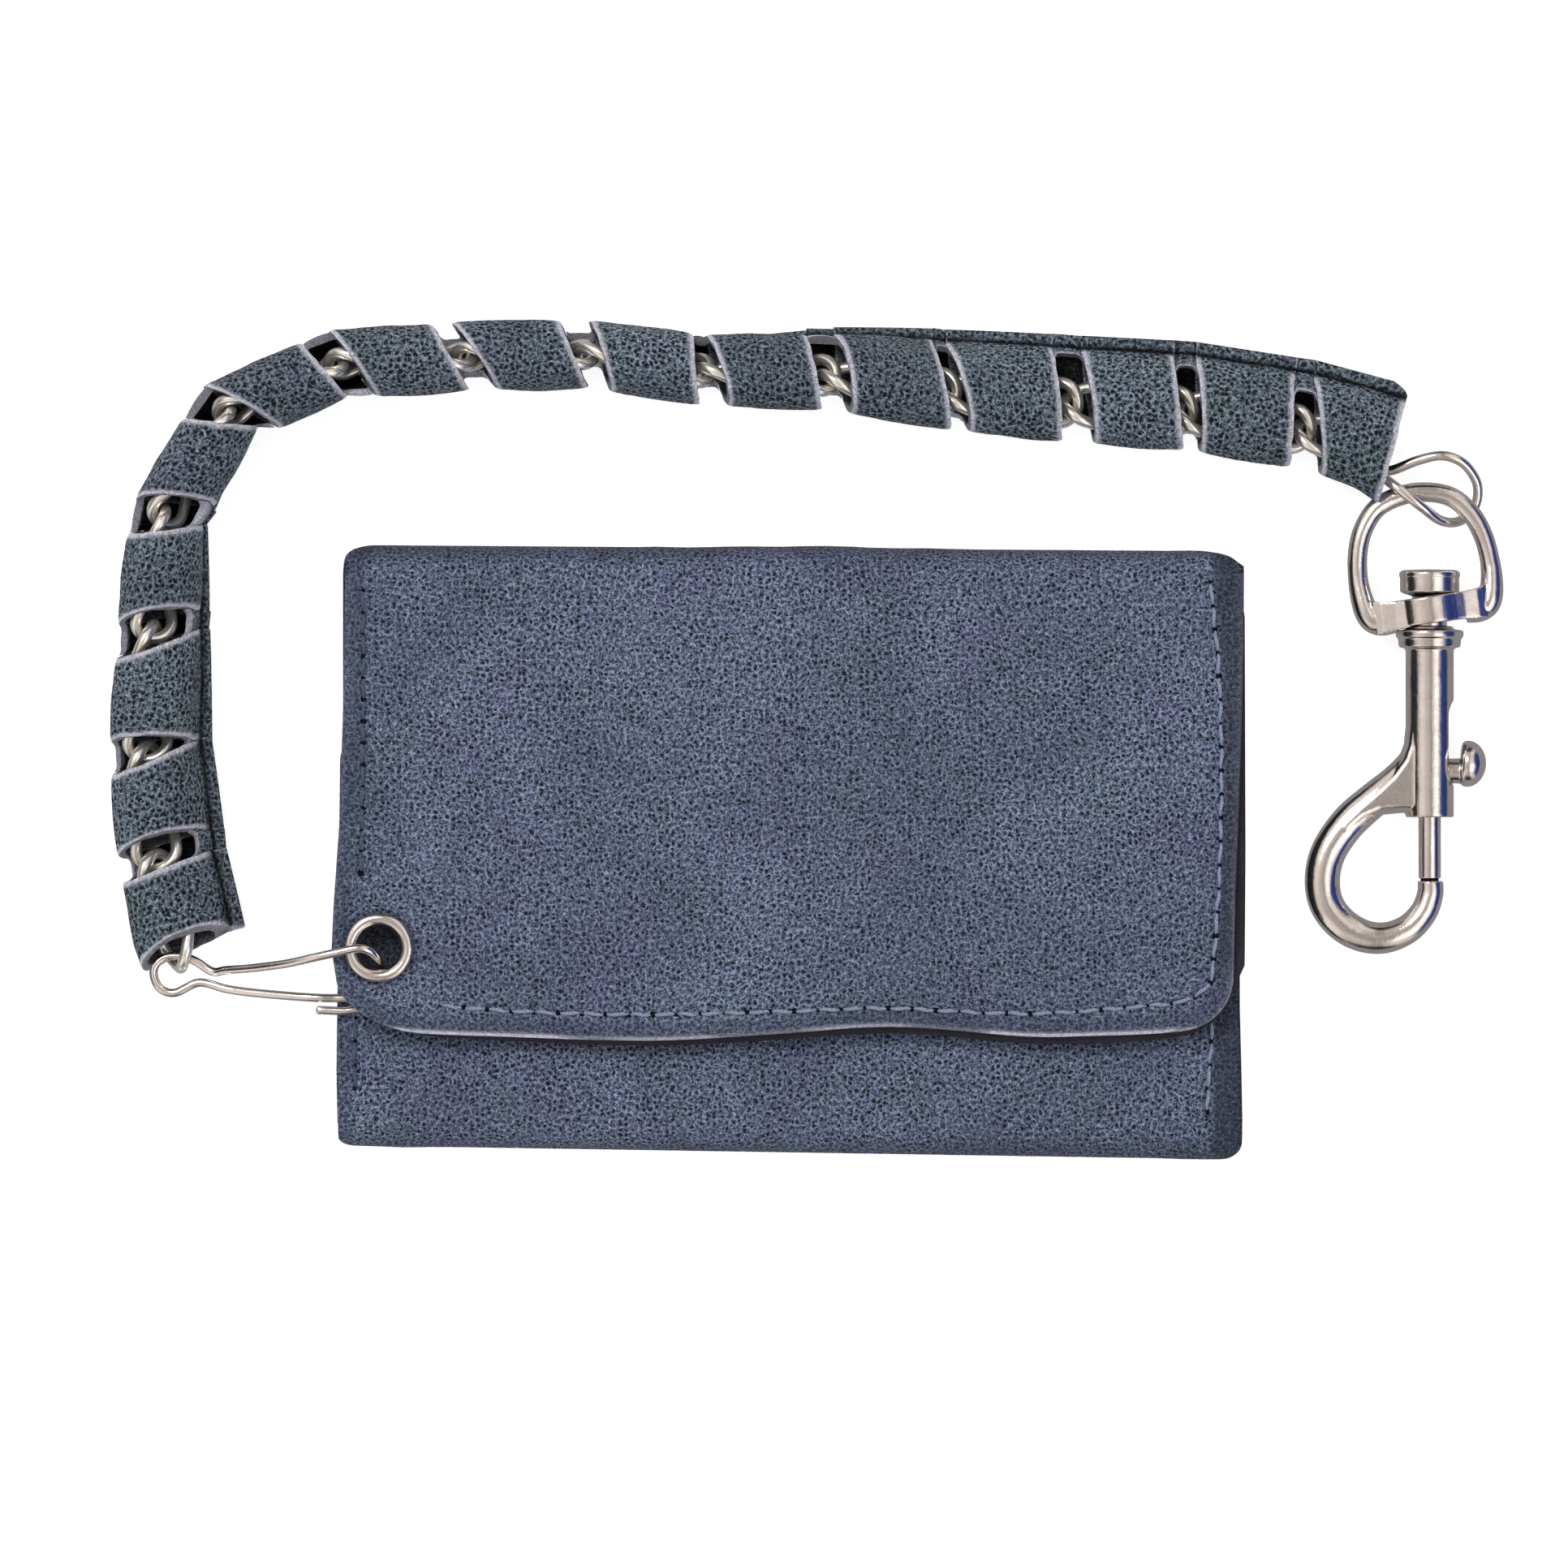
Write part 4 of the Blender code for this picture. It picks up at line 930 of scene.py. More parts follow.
# ------------------------------------------------ back sheet with the lower halves of the folds
def build_back():
    columns = graded(1.0, COLUMN_EDGE, 0.0098)
    x = lerp(BACK_L, BACK_R, columns)
    rows = [fold_row(BOTTOM_FOLD, a, columns, -1) for a in np.radians(np.linspace(0, 90, 16))]
    rows += [flat_row(x, y, 0.0, -1.0) for y in np.arange(FRONT_ROOT + 1.0, FLAP_ROOT - 0.5, 1.0)]
    rows += [fold_row(TOP_FOLD, a, columns, -1) for a in np.radians(np.linspace(90, 0, 16))]
    top, normal = (np.array(part) for part in zip(*rows))
    from_edge = np.minimum(*side_distances(top[..., 0]))
    none = np.zeros(from_edge.shape)
    outer = top - normal * edge_drop(from_edge, 0.35)[..., None]
    inner = top - normal * THICKNESS
    obj = wallet_panel("back_leather", top, outer, inner, raw=(none, 0.0),
                       press=(smoothstep(3.0, 1.5, from_edge) * 0.7, 0.9), dark=(none, 0.4),
                       uv_origin=(600.0, 40.0))
    fit(obj, "wallet", "back_panel")


build_back()


# ------------------------------------------------ linings and pocket
def lining_sheet(name, x, y, from_edge, low, high, drop_depth, raw_share=1.0, sag=0.0):
    """Thin sheet between two heights; sag is zero or less and dents its top face most."""
    drop = edge_drop(from_edge, drop_depth, 0.25)
    top = np.stack([x, y, high - drop + sag], axis=2)
    bottom = np.stack([x, y, low + drop + sag * 0.5], axis=2)
    raw = np.exp(-np.maximum(from_edge, 0) / 0.3) * raw_share
    return solid(name, shell(top, bottom), LINING, {"raw": both_faces(raw, raw)})


FLAP_LINING_TOP = 33.6
# how far the lining stands out below the flap's lower edge (x, distance); the dark strip that stands
# out is painted shade, the shadow line under the flap
LINING_SHADOW_REVEAL = [(-52, -0.1), (-46, 0.25), (-36, 0.55), (-20, 0.65), (0, 0.75), (14, 0.85),
                 (30, 0.9), (40, 1.0), (48, 0.75), (54, 0.2)]
# its right edge (y, x)
LINING_RIGHT = [(-23.0, 55.6), (-18.3, 55.8), (-16.3, 56.6), (-14.5, 57.4), (0, 57.5),
                (30, 57.4), (33.6, 56.0)]


def lining_low(x):
    return flap_low(x) - look_up(x, LINING_SHADOW_REVEAL)


def build_flap_lining():
    """Dark inner leaf; it stands out a little under the flap's lower edge and on the right. Under
    the lower edge its dark strip is painted shade, the shadow line below the flap.
    """
    columns = graded(1.0, LINING_EDGE, 0.0125)
    rows = []
    for t in graded(1.0, [0.003, 0.005, 0.008], 0.02):
        x = lerp(-55.0, 55.0, columns)
        if rows:
            x = rows[-1][0]
        for _ in range(3):
            y = lerp(FLAP_LINING_TOP, lining_low(x), t)
            above = y - lining_low(x)
            left = look_up(y[0], FLAP_LEFT) + 0.9 + corner_inset(above[0], 9.0, 4.6)
            right = look_up(y[-1], LINING_RIGHT) - corner_inset(above[-1], 5.6, 5.4)
            x = lerp(left, right, columns)
        rows.append((x, y))
    x, y = (np.array(part) for part in zip(*rows))
    from_edge = np.minimum(np.minimum(*side_distances(x)),
                           np.minimum(FLAP_LINING_TOP - y, y - lining_low(x)))
    obj = lining_sheet("flap_lining_leather", x, y, from_edge, low=9.95, high=10.65,
                       drop_depth=0.2, raw_share=0.25)
    eyelet_hole(obj, 3.3, 6, 14)
    fit(obj, "flap", "flap_lining")


def build_inner_sheet(node, body, half_width, y_low, y_high, low, high, corner, puff, seed):
    """Sheet with rounded corners, rippled by up to puff."""
    columns = graded(1.0, LINING_EDGE, 0.016)
    rows = graded(abs(y_high - y_low), [0.14, 0.25, 0.4], 1.2)
    inset = corner_inset(np.minimum(rows, abs(y_high - y_low) - rows), corner, corner)[:, None]
    x = lerp(-half_width + inset, half_width - inset, columns)
    y = np.broadcast_to((y_low + rows)[:, None], x.shape)
    from_edge = np.minimum(np.minimum(*side_distances(x)), np.minimum(y - y_low, y_high - y))
    sag = np.minimum(ripple(x, y, 14.0, seed) * puff * smoothstep(0.5, 5.0, from_edge), 0)
    obj = lining_sheet(node + "_leather", x, y, from_edge, low, high,
                       drop_depth=(high - low) * 0.3, sag=sag)
    fit(obj, body, node)


build_flap_lining()
build_inner_sheet("front_lining", "front", half_width=54.5, y_low=-33.2, y_high=13.3,
                  low=5.1, high=6.2, corner=2.0, puff=0.15, seed=5.0)
build_inner_sheet("back_lining", "wallet", half_width=54.5, y_low=-33.0, y_high=33.5,
                  low=2.0, high=2.8, corner=2.0, puff=0.1, seed=7.0)
build_inner_sheet("card_pocket", "wallet", half_width=54.0, y_low=-32.0, y_high=22.0,
                  low=3.7, high=4.5, corner=4.0, puff=0.1, seed=9.0)

# ------------------------------------------------ stitching
THREAD_RADIUS = 0.22
THREAD_LIFT = 0.27      # above the leather, halfway between two holes
THREAD_DIP = 0.50       # below it, in each hole


def surface_height(surface, place, default):
    """Height of a panel at a place, or the default where the panel has no point near."""
    x, y, z, flat = surface
    gap2 = (x - place[0]) ** 2 + (y - place[1]) ** 2 + (1 - flat) * 1e6
    k = np.argmin(gap2)
    return z.ravel()[k] if gap2.ravel()[k] < 2 else default


def thread_run(name, holes, surface, flat_z, body, material=THREAD):
    """One continuous thread that dips into each hole, and the holes themselves."""
    path, radii = [], []
    for k, (a, b) in enumerate(zip(holes, holes[1:])):
        side = unit(np.array([-(b - a)[1], (b - a)[0]]))
        z = surface_height(surface, a + (b - a) * 0.5, flat_z)
        sway = 0.10 * (1 if k % 2 else -0.6)
        for j in range(9):
            t = j / 9
            p = a + (b - a) * t + side * sway * math.sin(2 * math.pi * t)
            up = math.sin(math.pi * t) ** 1.1
            path.append((p[0], p[1], z - THREAD_DIP + (THREAD_DIP + THREAD_LIFT) * up))
            radii.append(THREAD_RADIUS * (0.72 + 0.42 * up + 0.06 * math.sin(t * 40 + k)))
    last = holes[-1]
    path.append((last[0], last[1], surface_height(surface, last, flat_z) - THREAD_DIP))
    radii.append(THREAD_RADIUS * 0.7)
    fit(solid(name, tube(path, radii, 8), material), body, None)

    # each hole is a dished disc set into its dimple, of the near-black material: painted shade of
    # the hole
    discs = []
    rng = np.random.default_rng(len(holes))
    for hole in holes:
        z = surface_height(surface, hole, flat_z)
        radius = 0.42 + 0.10 * rng.random()
        profile = [(0, z + 0.13), (radius * 0.75, z + 0.12), (radius, z + 0.06),
                   (radius * 1.1, z - 0.08), (radius * 0.9, z - 0.30), (0, z - 0.32)]
        discs.append(lathe(profile, 14, (*hole, 0), UP))
    fit(solid(name + "_holes", merge(discs), PIT), body, None)


thread_run("flap_stitching", flap_holes, flap_surface, FLAP_Z, "flap")
thread_run("flap_stitching_left", flap_left_holes, flap_surface, FLAP_Z, "flap", THREAD_DULL)
# the front's stitches stop short of the fold
thread_run("front_stitching_right", front_right_holes[front_right_holes[:, 1] > -33.2],
           front_surface, FRONT_Z, "front")
thread_run("front_stitching_left", front_left_holes[front_left_holes[:, 1] > -33.0],
           front_surface, FRONT_Z, "front", THREAD_DULL)

# ------------------------------------------------ eyelet and washer: profiles (radius, z)
EYELET_PROFILE = catmull([
    (4.30, 12.34), (4.33, 12.62), (4.12, 12.94), (3.68, 13.08), (3.22, 12.97), (2.90, 12.62),
    (2.72, 12.1), (2.66, 11.4), (2.66, 9.5)], 5).tolist() + [(3.1, 9.5), (3.1, 12.2), (3.25, 12.3)]
WASHER_PROFILE = rounded([(3.35, 9.4), (4.2, 9.4), (4.2, 9.7), (3.35, 9.7)], 0.1, 3, True)
for name, node, profile, sides in (("eyelet_rim", "eyelet", EYELET_PROFILE, 96),
                                   ("eyelet_washer_ring", "eyelet_washer", WASHER_PROFILE, 64)):
    shape = lathe(profile, sides, (EYE_X, EYE_Y, 0), UP, True)
    fit(solid(name, shape, NICKEL, sharp=50), "flap", node)

# =====================================================================
# rings: centre lines of the wire (x, y, z)
# =====================================================================
WALLET_RING_PATH = [
    (-54.9, -18.6, 8.65), (-57.2, -18.7, 8.65), (-60.6, -18.6, 8.6), (-67.1, -18.1, 6.9),
    (-71.0, -17.6, 5.8), (-74.5, -16.8, 5.2), (-77.6, -18.1, 5.0), (-79.6, -17.4, 4.9),
    (-80.3, -15.3, 4.9), (-79.2, -13.75, 4.9), (-77.0, -13.45, 4.9), (-75.0, -14.1, 5.0),
    (-72.8, -15.4, 5.3), (-71.0, -15.2, 6.4), (-67.5, -14.9, 8.6), (-63.2, -14.3, 11.3),
    (-59.6, -13.5, 13.1), (-56.5, -12.8, 13.65), (-54.2, -12.35, 13.85), (-52.8, -12.65, 13.55),
    (-51.9, -13.45, 12.6), (-51.45, -14.1, 11.3), (-51.35, -14.4, 10.0), (-51.4, -14.9, 8.95),
    (-51.4, -16.6, 8.65), (-53.0, -19.3, 8.65), (-55.6, -20.25, 8.65), (-59.3, -20.2, 8.6),
]
END_RING_PATH = [
    (75.7, 47.9, 3.4), (79.5, 49.2, 4.2), (82.6, 49.8, 4.6), (85.2, 48.9, 4.2),
    (86.9, 46.8, 3.0), (87.2, 44.7, 2.25), (86.5, 42.9, 2.2), (84.7, 41.5, 2.9),
    (82.4, 41.6, 4.6), (80.0, 43.2, 6.4), (77.3, 45.3, 6.75), (74.9, 47.2, 5.8),
    (73.6, 48.5, 6.1), (72.2, 50.0, 6.3), (71.3, 50.9, 5.8), (71.0, 51.2, 4.4),
    (71.3, 51.0, 3.0), (72.3, 50.3, 2.45), (73.6, 49.4, 2.6),
]
ring = tube(catmull(WALLET_RING_PATH, 8), radius=0.55, sides=20, round_ends=True)
fit(solid("wallet_ring_wire", ring, WIRE, sharp=60), "ring", "wallet_ring")
ring = tube(catmull(END_RING_PATH, 8, True), radius=0.625, sides=20, closed=True)
fit(solid("end_ring_wire", ring, WIRE), "end_ring", "end_ring")

# =====================================================================
# strap: sleeves of folded leather, sewn along a fin, with windows between them
# =====================================================================
# Sections are (along the fin, across it) from the strap's axis. Half outlines of the sleeve
# run from the root of the fin round to the fold.
SLEEVE_OUT = [(6.3, 1.3), (4.6, 2.7), (2.6, 3.8), (0.2, 4.4), (-2.2, 4.2), (-4.3, 3.1),
              (-5.5, 1.6), (-5.9, 0.0)]
SLEEVE_IN = [(4.3, 0.75), (3.6, 1.75), (2.1, 2.75), (0.1, 3.3), (-1.9, 3.1), (-3.6, 2.3),
             (-4.5, 1.15), (-4.8, 0.0)]
# fin: two layers with a groove between them at the tip, and the seam line at its root
FIN_SIDE = [(6.32, 1.20), (6.42, 0.85), (6.58, 1.14), (6.8, 1.34), (7.3, 1.38), (7.8, 1.30),
            (8.1, 1.12), (8.2, 0.8), (8.2, 0.35), (8.02, 0.0)]
# inner wall of the webs
WEB_IN = [(-4.8, 0.0), (-4.5, 1.15), (-3.6, 2.3), (-1.9, 3.1), (0.1, 3.3), (2.1, 2.75),
          (3.6, 1.85), (4.4, 1.35), (5.2, 0.75), (5.6, 0.3)]
FIN_TIP, FIN_HALF = 8.2, 1.3

# stations where one sleeve gives way to the next, from the end ring to the wallet ring (x, y)
STATIONS = [
    (76.05, 50.9), (65.3, 53.8), (50.3, 56.2), (35.7, 57.1), (20.3, 58.4), (5.0, 60.3),
    (-10.7, 60.6), (-25.6, 62.5), (-40.9, 62.2), (-57.0, 61.2), (-70.9, 54.9), (-78.4, 41.9),
    (-79.7, 27.6), (-80.4, 12.4), (-79.1, -1.3), (-76.3, -13.6),
]
# fin angle at each station, in degrees: 0 points outward, 90 down
FIN_ANGLE = [10, 11, 14, 20, 34, 54, 72, 85, 90, 93, 102, 117, 132, 147, 162, 172]
# In the lists below entry 0 is a filler.
# each window, by station: how far back the sleeve before it ends, how far on the next starts
GAP_END = [0, 1.48, 1.38, 2.10, 1.06, 1.78, 1.55, 1.78, 1.25, 1.90, 2.10, 2.20, 1.73, 1.30, 2.10]
GAP_START = [0, 1.70, 1.02, 1.84, 1.02, 1.86, 1.05, 1.50, 1.70, 1.70, 1.22, 1.45, 1.65, 0.75, 1.00]
# slant of the cut at the start and at the end of each sleeve, as tan of the angle
SLANT_START = [0, 0.0, 0.10, 0.155, 0.16, 0.29, 0.20, 0.21, 0.38, 0.46, 0.29, 0.42, 0.20, 0.38,
               0.30, 0.13]
SLANT_END = [0, 0.33, 0.19, 0.18, 0.30, 0.24, 0.30, 0.42, 0.62, 0.60, 0.74, 0.48, 0.31, 0.10,
             0.22, 0.22]
# how far along the fin axis each window reaches, on the wall at -side and at +side
CUT_NEG = [0, 3.6, 4.5, 5.2, 4.4, 3.2, 3.0, 4.6, 4.6, -1.4, -1.6, -2.0, -2.6, -3.4, -3.4]
CUT_POS = [0, -2.0, -2.6, -1.6, -1.6, 1.0, 3.3, 5.6, 4.6, 0.3, 2.5, 0.0, 2.2, 3.5, 3.8]
# lean of the cut at the end of each sleeve: its upper side is cut back, so the raw edge shows
LEAN = [0] + [0.10] * 9 + [0.12, 0.20, 0.28, 0.26, 0.38, 0.46]
SLEEVES = len(STATIONS) - 1
UV_STEP = 31.7          # keeps the texture of the sleeves apart


def station_point(place, angle):
    """Station raised so that the strap rests on the floor."""
    a = math.radians(angle)
    return Vector((*place, max(4.4, FIN_TIP * math.sin(a) + FIN_HALF * abs(math.cos(a)))))


POINTS = [station_point(place, angle) for place, angle in zip(STATIONS, FIN_ANGLE)]


def strap_axes(i, angle):
    """Directions of sleeve i: along it, along its fin, across the fin, and level outward."""
    along = (POINTS[i] - POINTS[i - 1]).normalized()
    out = Vector((along.y, -along.x, 0)).normalized()
    down = Vector((0, 0, -1))
    down = (down - along * down.dot(along)).normalized()
    a = math.radians(angle)
    fin = (math.cos(a) * out + math.sin(a) * down).normalized()
    return along, fin, along.cross(fin), out


def whole_section(half):
    """Smooth section from a half outline, open at the fin."""
    return catmull(half + [(a, -b) for a, b in half[-2::-1]], 5).tolist()


SECTION_OUT = whole_section(SLEEVE_OUT)
SECTION_IN = whole_section(SLEEVE_IN)
FIN_LOOP = [(a, -b) for a, b in FIN_SIDE] + FIN_SIDE[-2::-1]


def cut_wave(f, n, t, i):
    """Slight waviness of sleeve i's cuts; t is 0 at its start and 1 at its end."""
    return 0.16 * noise.noise(Vector((f * 0.5, n * 0.5 + t * 3.0, i * 3.7 + (0 if t < 0.5 else 50))))


def outward(axes, f, n):
    """Level distance of a section point from the axis, which the slant of a cut follows."""
    _, fin, side, out = axes
    distance = (fin * f + side * n).dot(out)
    return lerp(distance, (fin * 6.2).dot(out), 0.7) if f > 6.2 else distance


def lean_back(i, axes, f, n):
    return LEAN[i] * max((axes[1] * f + axes[2] * n).z, -1.2)


def strap_solid(name, corners, faces, **options):
    """Strap leather from corners of (place, raw, dark, press, uvm)."""
    verts, raw, dark, press, uvm = zip(*corners)
    return solid(name, (verts, faces), STRAP, {"raw": raw, "dark": dark, "press": press},
                 uvm=uvm, **options)


SLEEVE_STEPS = [0, 0.02, 0.038, 0.056, 0.08, *np.linspace(0.11, 0.89, 16).tolist(),
                0.92, 0.944, 0.962, 0.98, 1.0]
OUTER_LOOP = SECTION_OUT + FIN_LOOP
GIRTH = run_length(OUTER_LOOP)


def sleeve_relief(i, f, n, s, t, from_cut):
    """Swell of a sleeve's wall: bulge between the windows, creases, and rounded lips."""
    relief = 0.16 * math.sin(math.pi * t) - 0.10
    relief += 0.16 * noise.noise(Vector((f * 0.33 + i, n * 0.33, s * 0.22 + i * 3.7)))
    relief += 0.05 * noise.noise(Vector((f * 1.1 + i, n * 1.1, s * 0.9)))
    relief -= 0.20 * math.exp(-from_cut / 0.35)
    if i == 1 and f < 0:
        # the first sleeve flares at its start
        relief += 1.7 * (f / 5.9) ** 2 * (1 - t) ** 3
    return relief


def seam_dark(i, f, s):
    """Painted shade in the groove at the root of the fin, wide and broken from sleeve 11 on."""
    if i >= 11 and f > 5.4:
        wear_and_shade = smoothstep(-0.1, 0.2, noise.noise(Vector((s * 0.45, i * 7.0, 1.0))))
        return math.exp(-((f - 6.3) / 0.62) ** 2) * (0.8 + 0.2 * float(wear_and_shade))
    return math.exp(-((f - 6.42) / 0.36) ** 2) if f > 5.6 else 0.0


def build_sleeve(i):
    origin = POINTS[i - 1]
    length = (POINTS[i] - origin).length
    start = GAP_START[i - 1] if i > 1 else -0.3
    stop = length - (GAP_END[i] if i < SLEEVES else 1.1)
    wall, whole = len(SECTION_OUT), len(OUTER_LOOP)
    corners = []

    def outer_corner(k, f, n, s, t, from_cut, axes):
        on_wall = k < wall
        relief = sleeve_relief(i, f, n, s, t, from_cut) if on_wall else 0.0
        if i == 1 and f > 6.6:
            # rounded start of the first fin
            s += 0.9 * (f - 6.6) ** 2 * (1 - t) ** 6
        grow = 1 + relief / max(math.hypot(f, n), 2.0)
        place = origin + axes[0] * s + axes[1] * (f * grow) + axes[2] * (n * grow)
        raw = 0.9 * (1 - float(smoothstep(0.30, 0.85, from_cut))) if on_wall else 0.0
        return (place[:], raw, seam_dark(i, f, s), 0.0 if on_wall else 0.25,
                (i * UV_STEP + s, GIRTH[k]))

    def inner_corner(k, f, n, s, t, from_cut, axes):
        place = origin + axes[0] * s + axes[1] * f + axes[2] * n
        # the inner face darkens away from the cut: painted shade inside the sleeve
        return (place[:], 0.4 * math.exp(-from_cut / 0.5),
                0.75 * (1 - math.exp(-from_cut / 0.8)), 0.6, (i * UV_STEP + s, n * 2 + 60))

    def lay_rows(loop, corner):
        rows = []
        for t in SLEEVE_STEPS:
            base = lerp(start, stop, t)
            axes = strap_axes(i, lerp(FIN_ANGLE[i - 1], FIN_ANGLE[i], base / length))
            from_cut = min(t, 1 - t) * (stop - start)
            slant = lerp(SLANT_START[i], SLANT_END[i], float(smoothstep(0.0, 1.0, t)))
            rows.append(list(range(len(corners), len(corners) + len(loop))))
            for k, (f, n) in enumerate(loop):
                wobble = cut_wave(f, n, t, i) * (1 if from_cut < 3 else 0.3)
                s = base + slant * outward(axes, f, n) + wobble
                s -= lean_back(i, axes, f, n) * t ** 3
                corners.append(corner(k, f, n, s, t, from_cut, axes))
        return rows

    outer = lay_rows(OUTER_LOOP, outer_corner)
    inner = lay_rows(SECTION_IN, inner_corner)
    faces = bands(outer) + [face[:1] + face[:0:-1] for face in bands(inner)]
    # cut faces stand on copies of the end rows with their own attributes, welded on below
    end_raw = [1.0] * wall + [0.8] * (whole - wall) + [0.85] * len(SECTION_IN)
    for end in (0, -1):
        base = len(corners)
        corners += [(corners[k][0], raw, 0.0, 0.0, corners[k][4])
                    for k, raw in zip(outer[end] + inner[end], end_raw)]
        for k in range(wall - 1):
            faces.append([base + k, base + k + 1, base + whole + k + 1, base + whole + k])
        faces.append([base + wall - 1, base, base + whole, base + whole + len(SECTION_IN) - 1])
        faces.append([base + k for k in (*range(wall - 1, whole), 0)])
    obj = strap_solid("sleeve_leather_%02d" % i, corners, faces, weld=1e-7)
    obj.data.set_sharp_from_angle(angle=math.radians(50))
    fit(obj, "strap_%02d" % i, "sleeve_segment_%02d" % i)


for i in range(1, SLEEVES + 1):
    build_sleeve(i)

# ------------------------------------------------ fin webs
# The leather that runs on past each window: a trough with the fin as its keel.
WEB_OVERLAP = 0.03
half_curve = catmull(SLEEVE_OUT + [(-5.9, -0.01)], 5)
half_curve = half_curve[half_curve[:, 1] >= 0]
WEB_OUT = half_curve[np.argsort(half_curve[:, 0])]


def web_section(i, t):
    """Section of web i at t along it: (along fin, across, raw, dark, press)."""
    pale = 1.0 if 5 <= i <= 11 else 0.0
    arch = 1 - (2 * t - 1) ** 2
    rise = 0.9 * (1 - arch) ** 3
    inset = lerp(0.38, 0.18, arch)
    rims = {}
    for side, cut in ((-1, CUT_NEG[i]), (1, CUT_POS[i])):
        cut += 0.18 * noise.noise(Vector((t * 1.6, i * 3.1, side * 2.0)))
        rims[side] = max(-4.4, cut - rise)
    down, up = np.linspace(0, 1, 9).tolist(), np.linspace(1, 0, 9).tolist()
    section = []

    def outer_wall(side, steps):
        for q in steps:
            f = lerp(rims[side], 6.28, q ** 1.3)
            edge = 0.85 * math.exp(-(f - rims[side]) / 0.24)
            lip = 0.70 * pale * math.exp(-((f - rims[side]) / 1.9) ** 4)
            n = side * (float(look_up(f, WEB_OUT)) - inset)
            section.append((f, n, max(edge, lip), 0.0, 0.1))

    def inner_wall(side, steps):
        for q in steps:
            f = lerp(rims[side] + 0.02, 5.55, q)
            # the inner wall darkens with depth: painted shade inside the trough
            deep = 1 - math.exp(-max(0.0, f - rims[side]) / 0.3)
            n = side * float(look_up(f, WEB_IN))
            section.append((f, n, 1.0 - deep, 0.92 * deep, 0.5))

    outer_wall(-1, down)
    for f, n in FIN_LOOP:
        # painted shade in the seam groove at the root of the fin
        groove = math.exp(-((f - 6.42) / 0.36) ** 2) if f < 7.2 else 0.0
        section.append((f, n, 0.0, groove, 0.25))
    outer_wall(1, up)
    inner_wall(1, down)
    inner_wall(-1, up)
    return section


def build_web(i):
    """Between sleeve i, which ends here, and sleeve i + 1."""
    before, after = strap_axes(i, FIN_ANGLE[i]), strap_axes(i + 1, FIN_ANGLE[i])
    corners = []
    steps = np.linspace(0.0, 1.0, 12).tolist()
    for t in steps:
        section = web_section(i, t)
        runs = run_length([point[:2] for point in section])
        for (f, n, raw, dark, press), run in zip(section, runs):
            first = (WEB_OVERLAP - GAP_END[i] + SLANT_END[i] * outward(before, f, n)
                     + cut_wave(f, n, 1.0, i) - lean_back(i, before, f, n))
            last = (GAP_START[i] - WEB_OVERLAP + SLANT_START[i + 1] * outward(after, f, n)
                    + cut_wave(f, n, 0.0, i + 1))
            place = POINTS[i] + before[0] * first + before[1] * f + before[2] * n
            place = place.lerp(POINTS[i] + after[0] * last + after[1] * f + after[2] * n, t)
            corners.append((place[:], raw, dark, press,
                            (i * UV_STEP + 900 + lerp(first, last, t), run)))
    rows = rows_of(len(steps), len(corners) // len(steps))
    obj = strap_solid("fin_web_%02d" % i, corners, skin(rows), sharp=50)
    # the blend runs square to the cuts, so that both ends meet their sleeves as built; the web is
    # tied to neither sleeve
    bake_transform(obj)


for i in range(1, SLEEVES):
    build_web(i)

# ------------------------------------------------ chain links
LINK_WIRE = 1.5         # wire diameter
LINK_WIDTH = 5.2        # between the centre lines of the long sides
LINK_LEAD = 0.95        # how far the centre line runs past each joint


def chain_point(i):
    """Joint between two links at a station, a little off the axis, away from the fin."""
    fin = (strap_axes(i, FIN_ANGLE[i])[1] + strap_axes(i + 1, FIN_ANGLE[i])[1]).normalized()
    return POINTS[i] - fin * 0.8


def twisted_link(a, b, fin, angle_start, angle_end):
    """Oval link from a to b that twists about its length."""
    along = (b - a).normalized()
    fin = (fin - along * fin.dot(along)).normalized()
    side = along.cross(fin)
    origin = a - along * LINK_LEAD
    total = (b + along * LINK_LEAD - origin).length
    r = LINK_WIDTH / 2
    oval = []               # (along, across)
    for centre, far, first, across in ((total - r, r, -90, r), (r, total - r, 90, -r)):
        for k in range(16):
            turn = math.radians(first + 180 * k / 16)
            oval.append((centre + r * math.cos(turn), r * math.sin(turn)))
        oval += [(lerp(centre, far, k / 8), across) for k in range(8)]
    centres, normals = [], []
    for s, across in oval:
        angle = math.radians(lerp(angle_start, angle_end, s / total))
        width = math.cos(angle) * fin + math.sin(angle) * side
        centres.append(origin + along * s + width * across)
        normals.append(-math.sin(angle) * fin + math.cos(angle) * side)
    verts, sides, m = [], 14, len(centres)
    for k in range(m):
        tangent = (centres[(k + 1) % m] - centres[k - 1]).normalized()
        u = (normals[k] - tangent * normals[k].dot(tangent)).normalized()
        v = tangent.cross(u)
        for j in range(sides):
            q = 2 * math.pi * j / sides
            verts.append((centres[k] + LINK_WIRE / 2 * (math.cos(q) * u + math.sin(q) * v))[:])
    return verts, skin(rows_of(m, sides), closed=True)


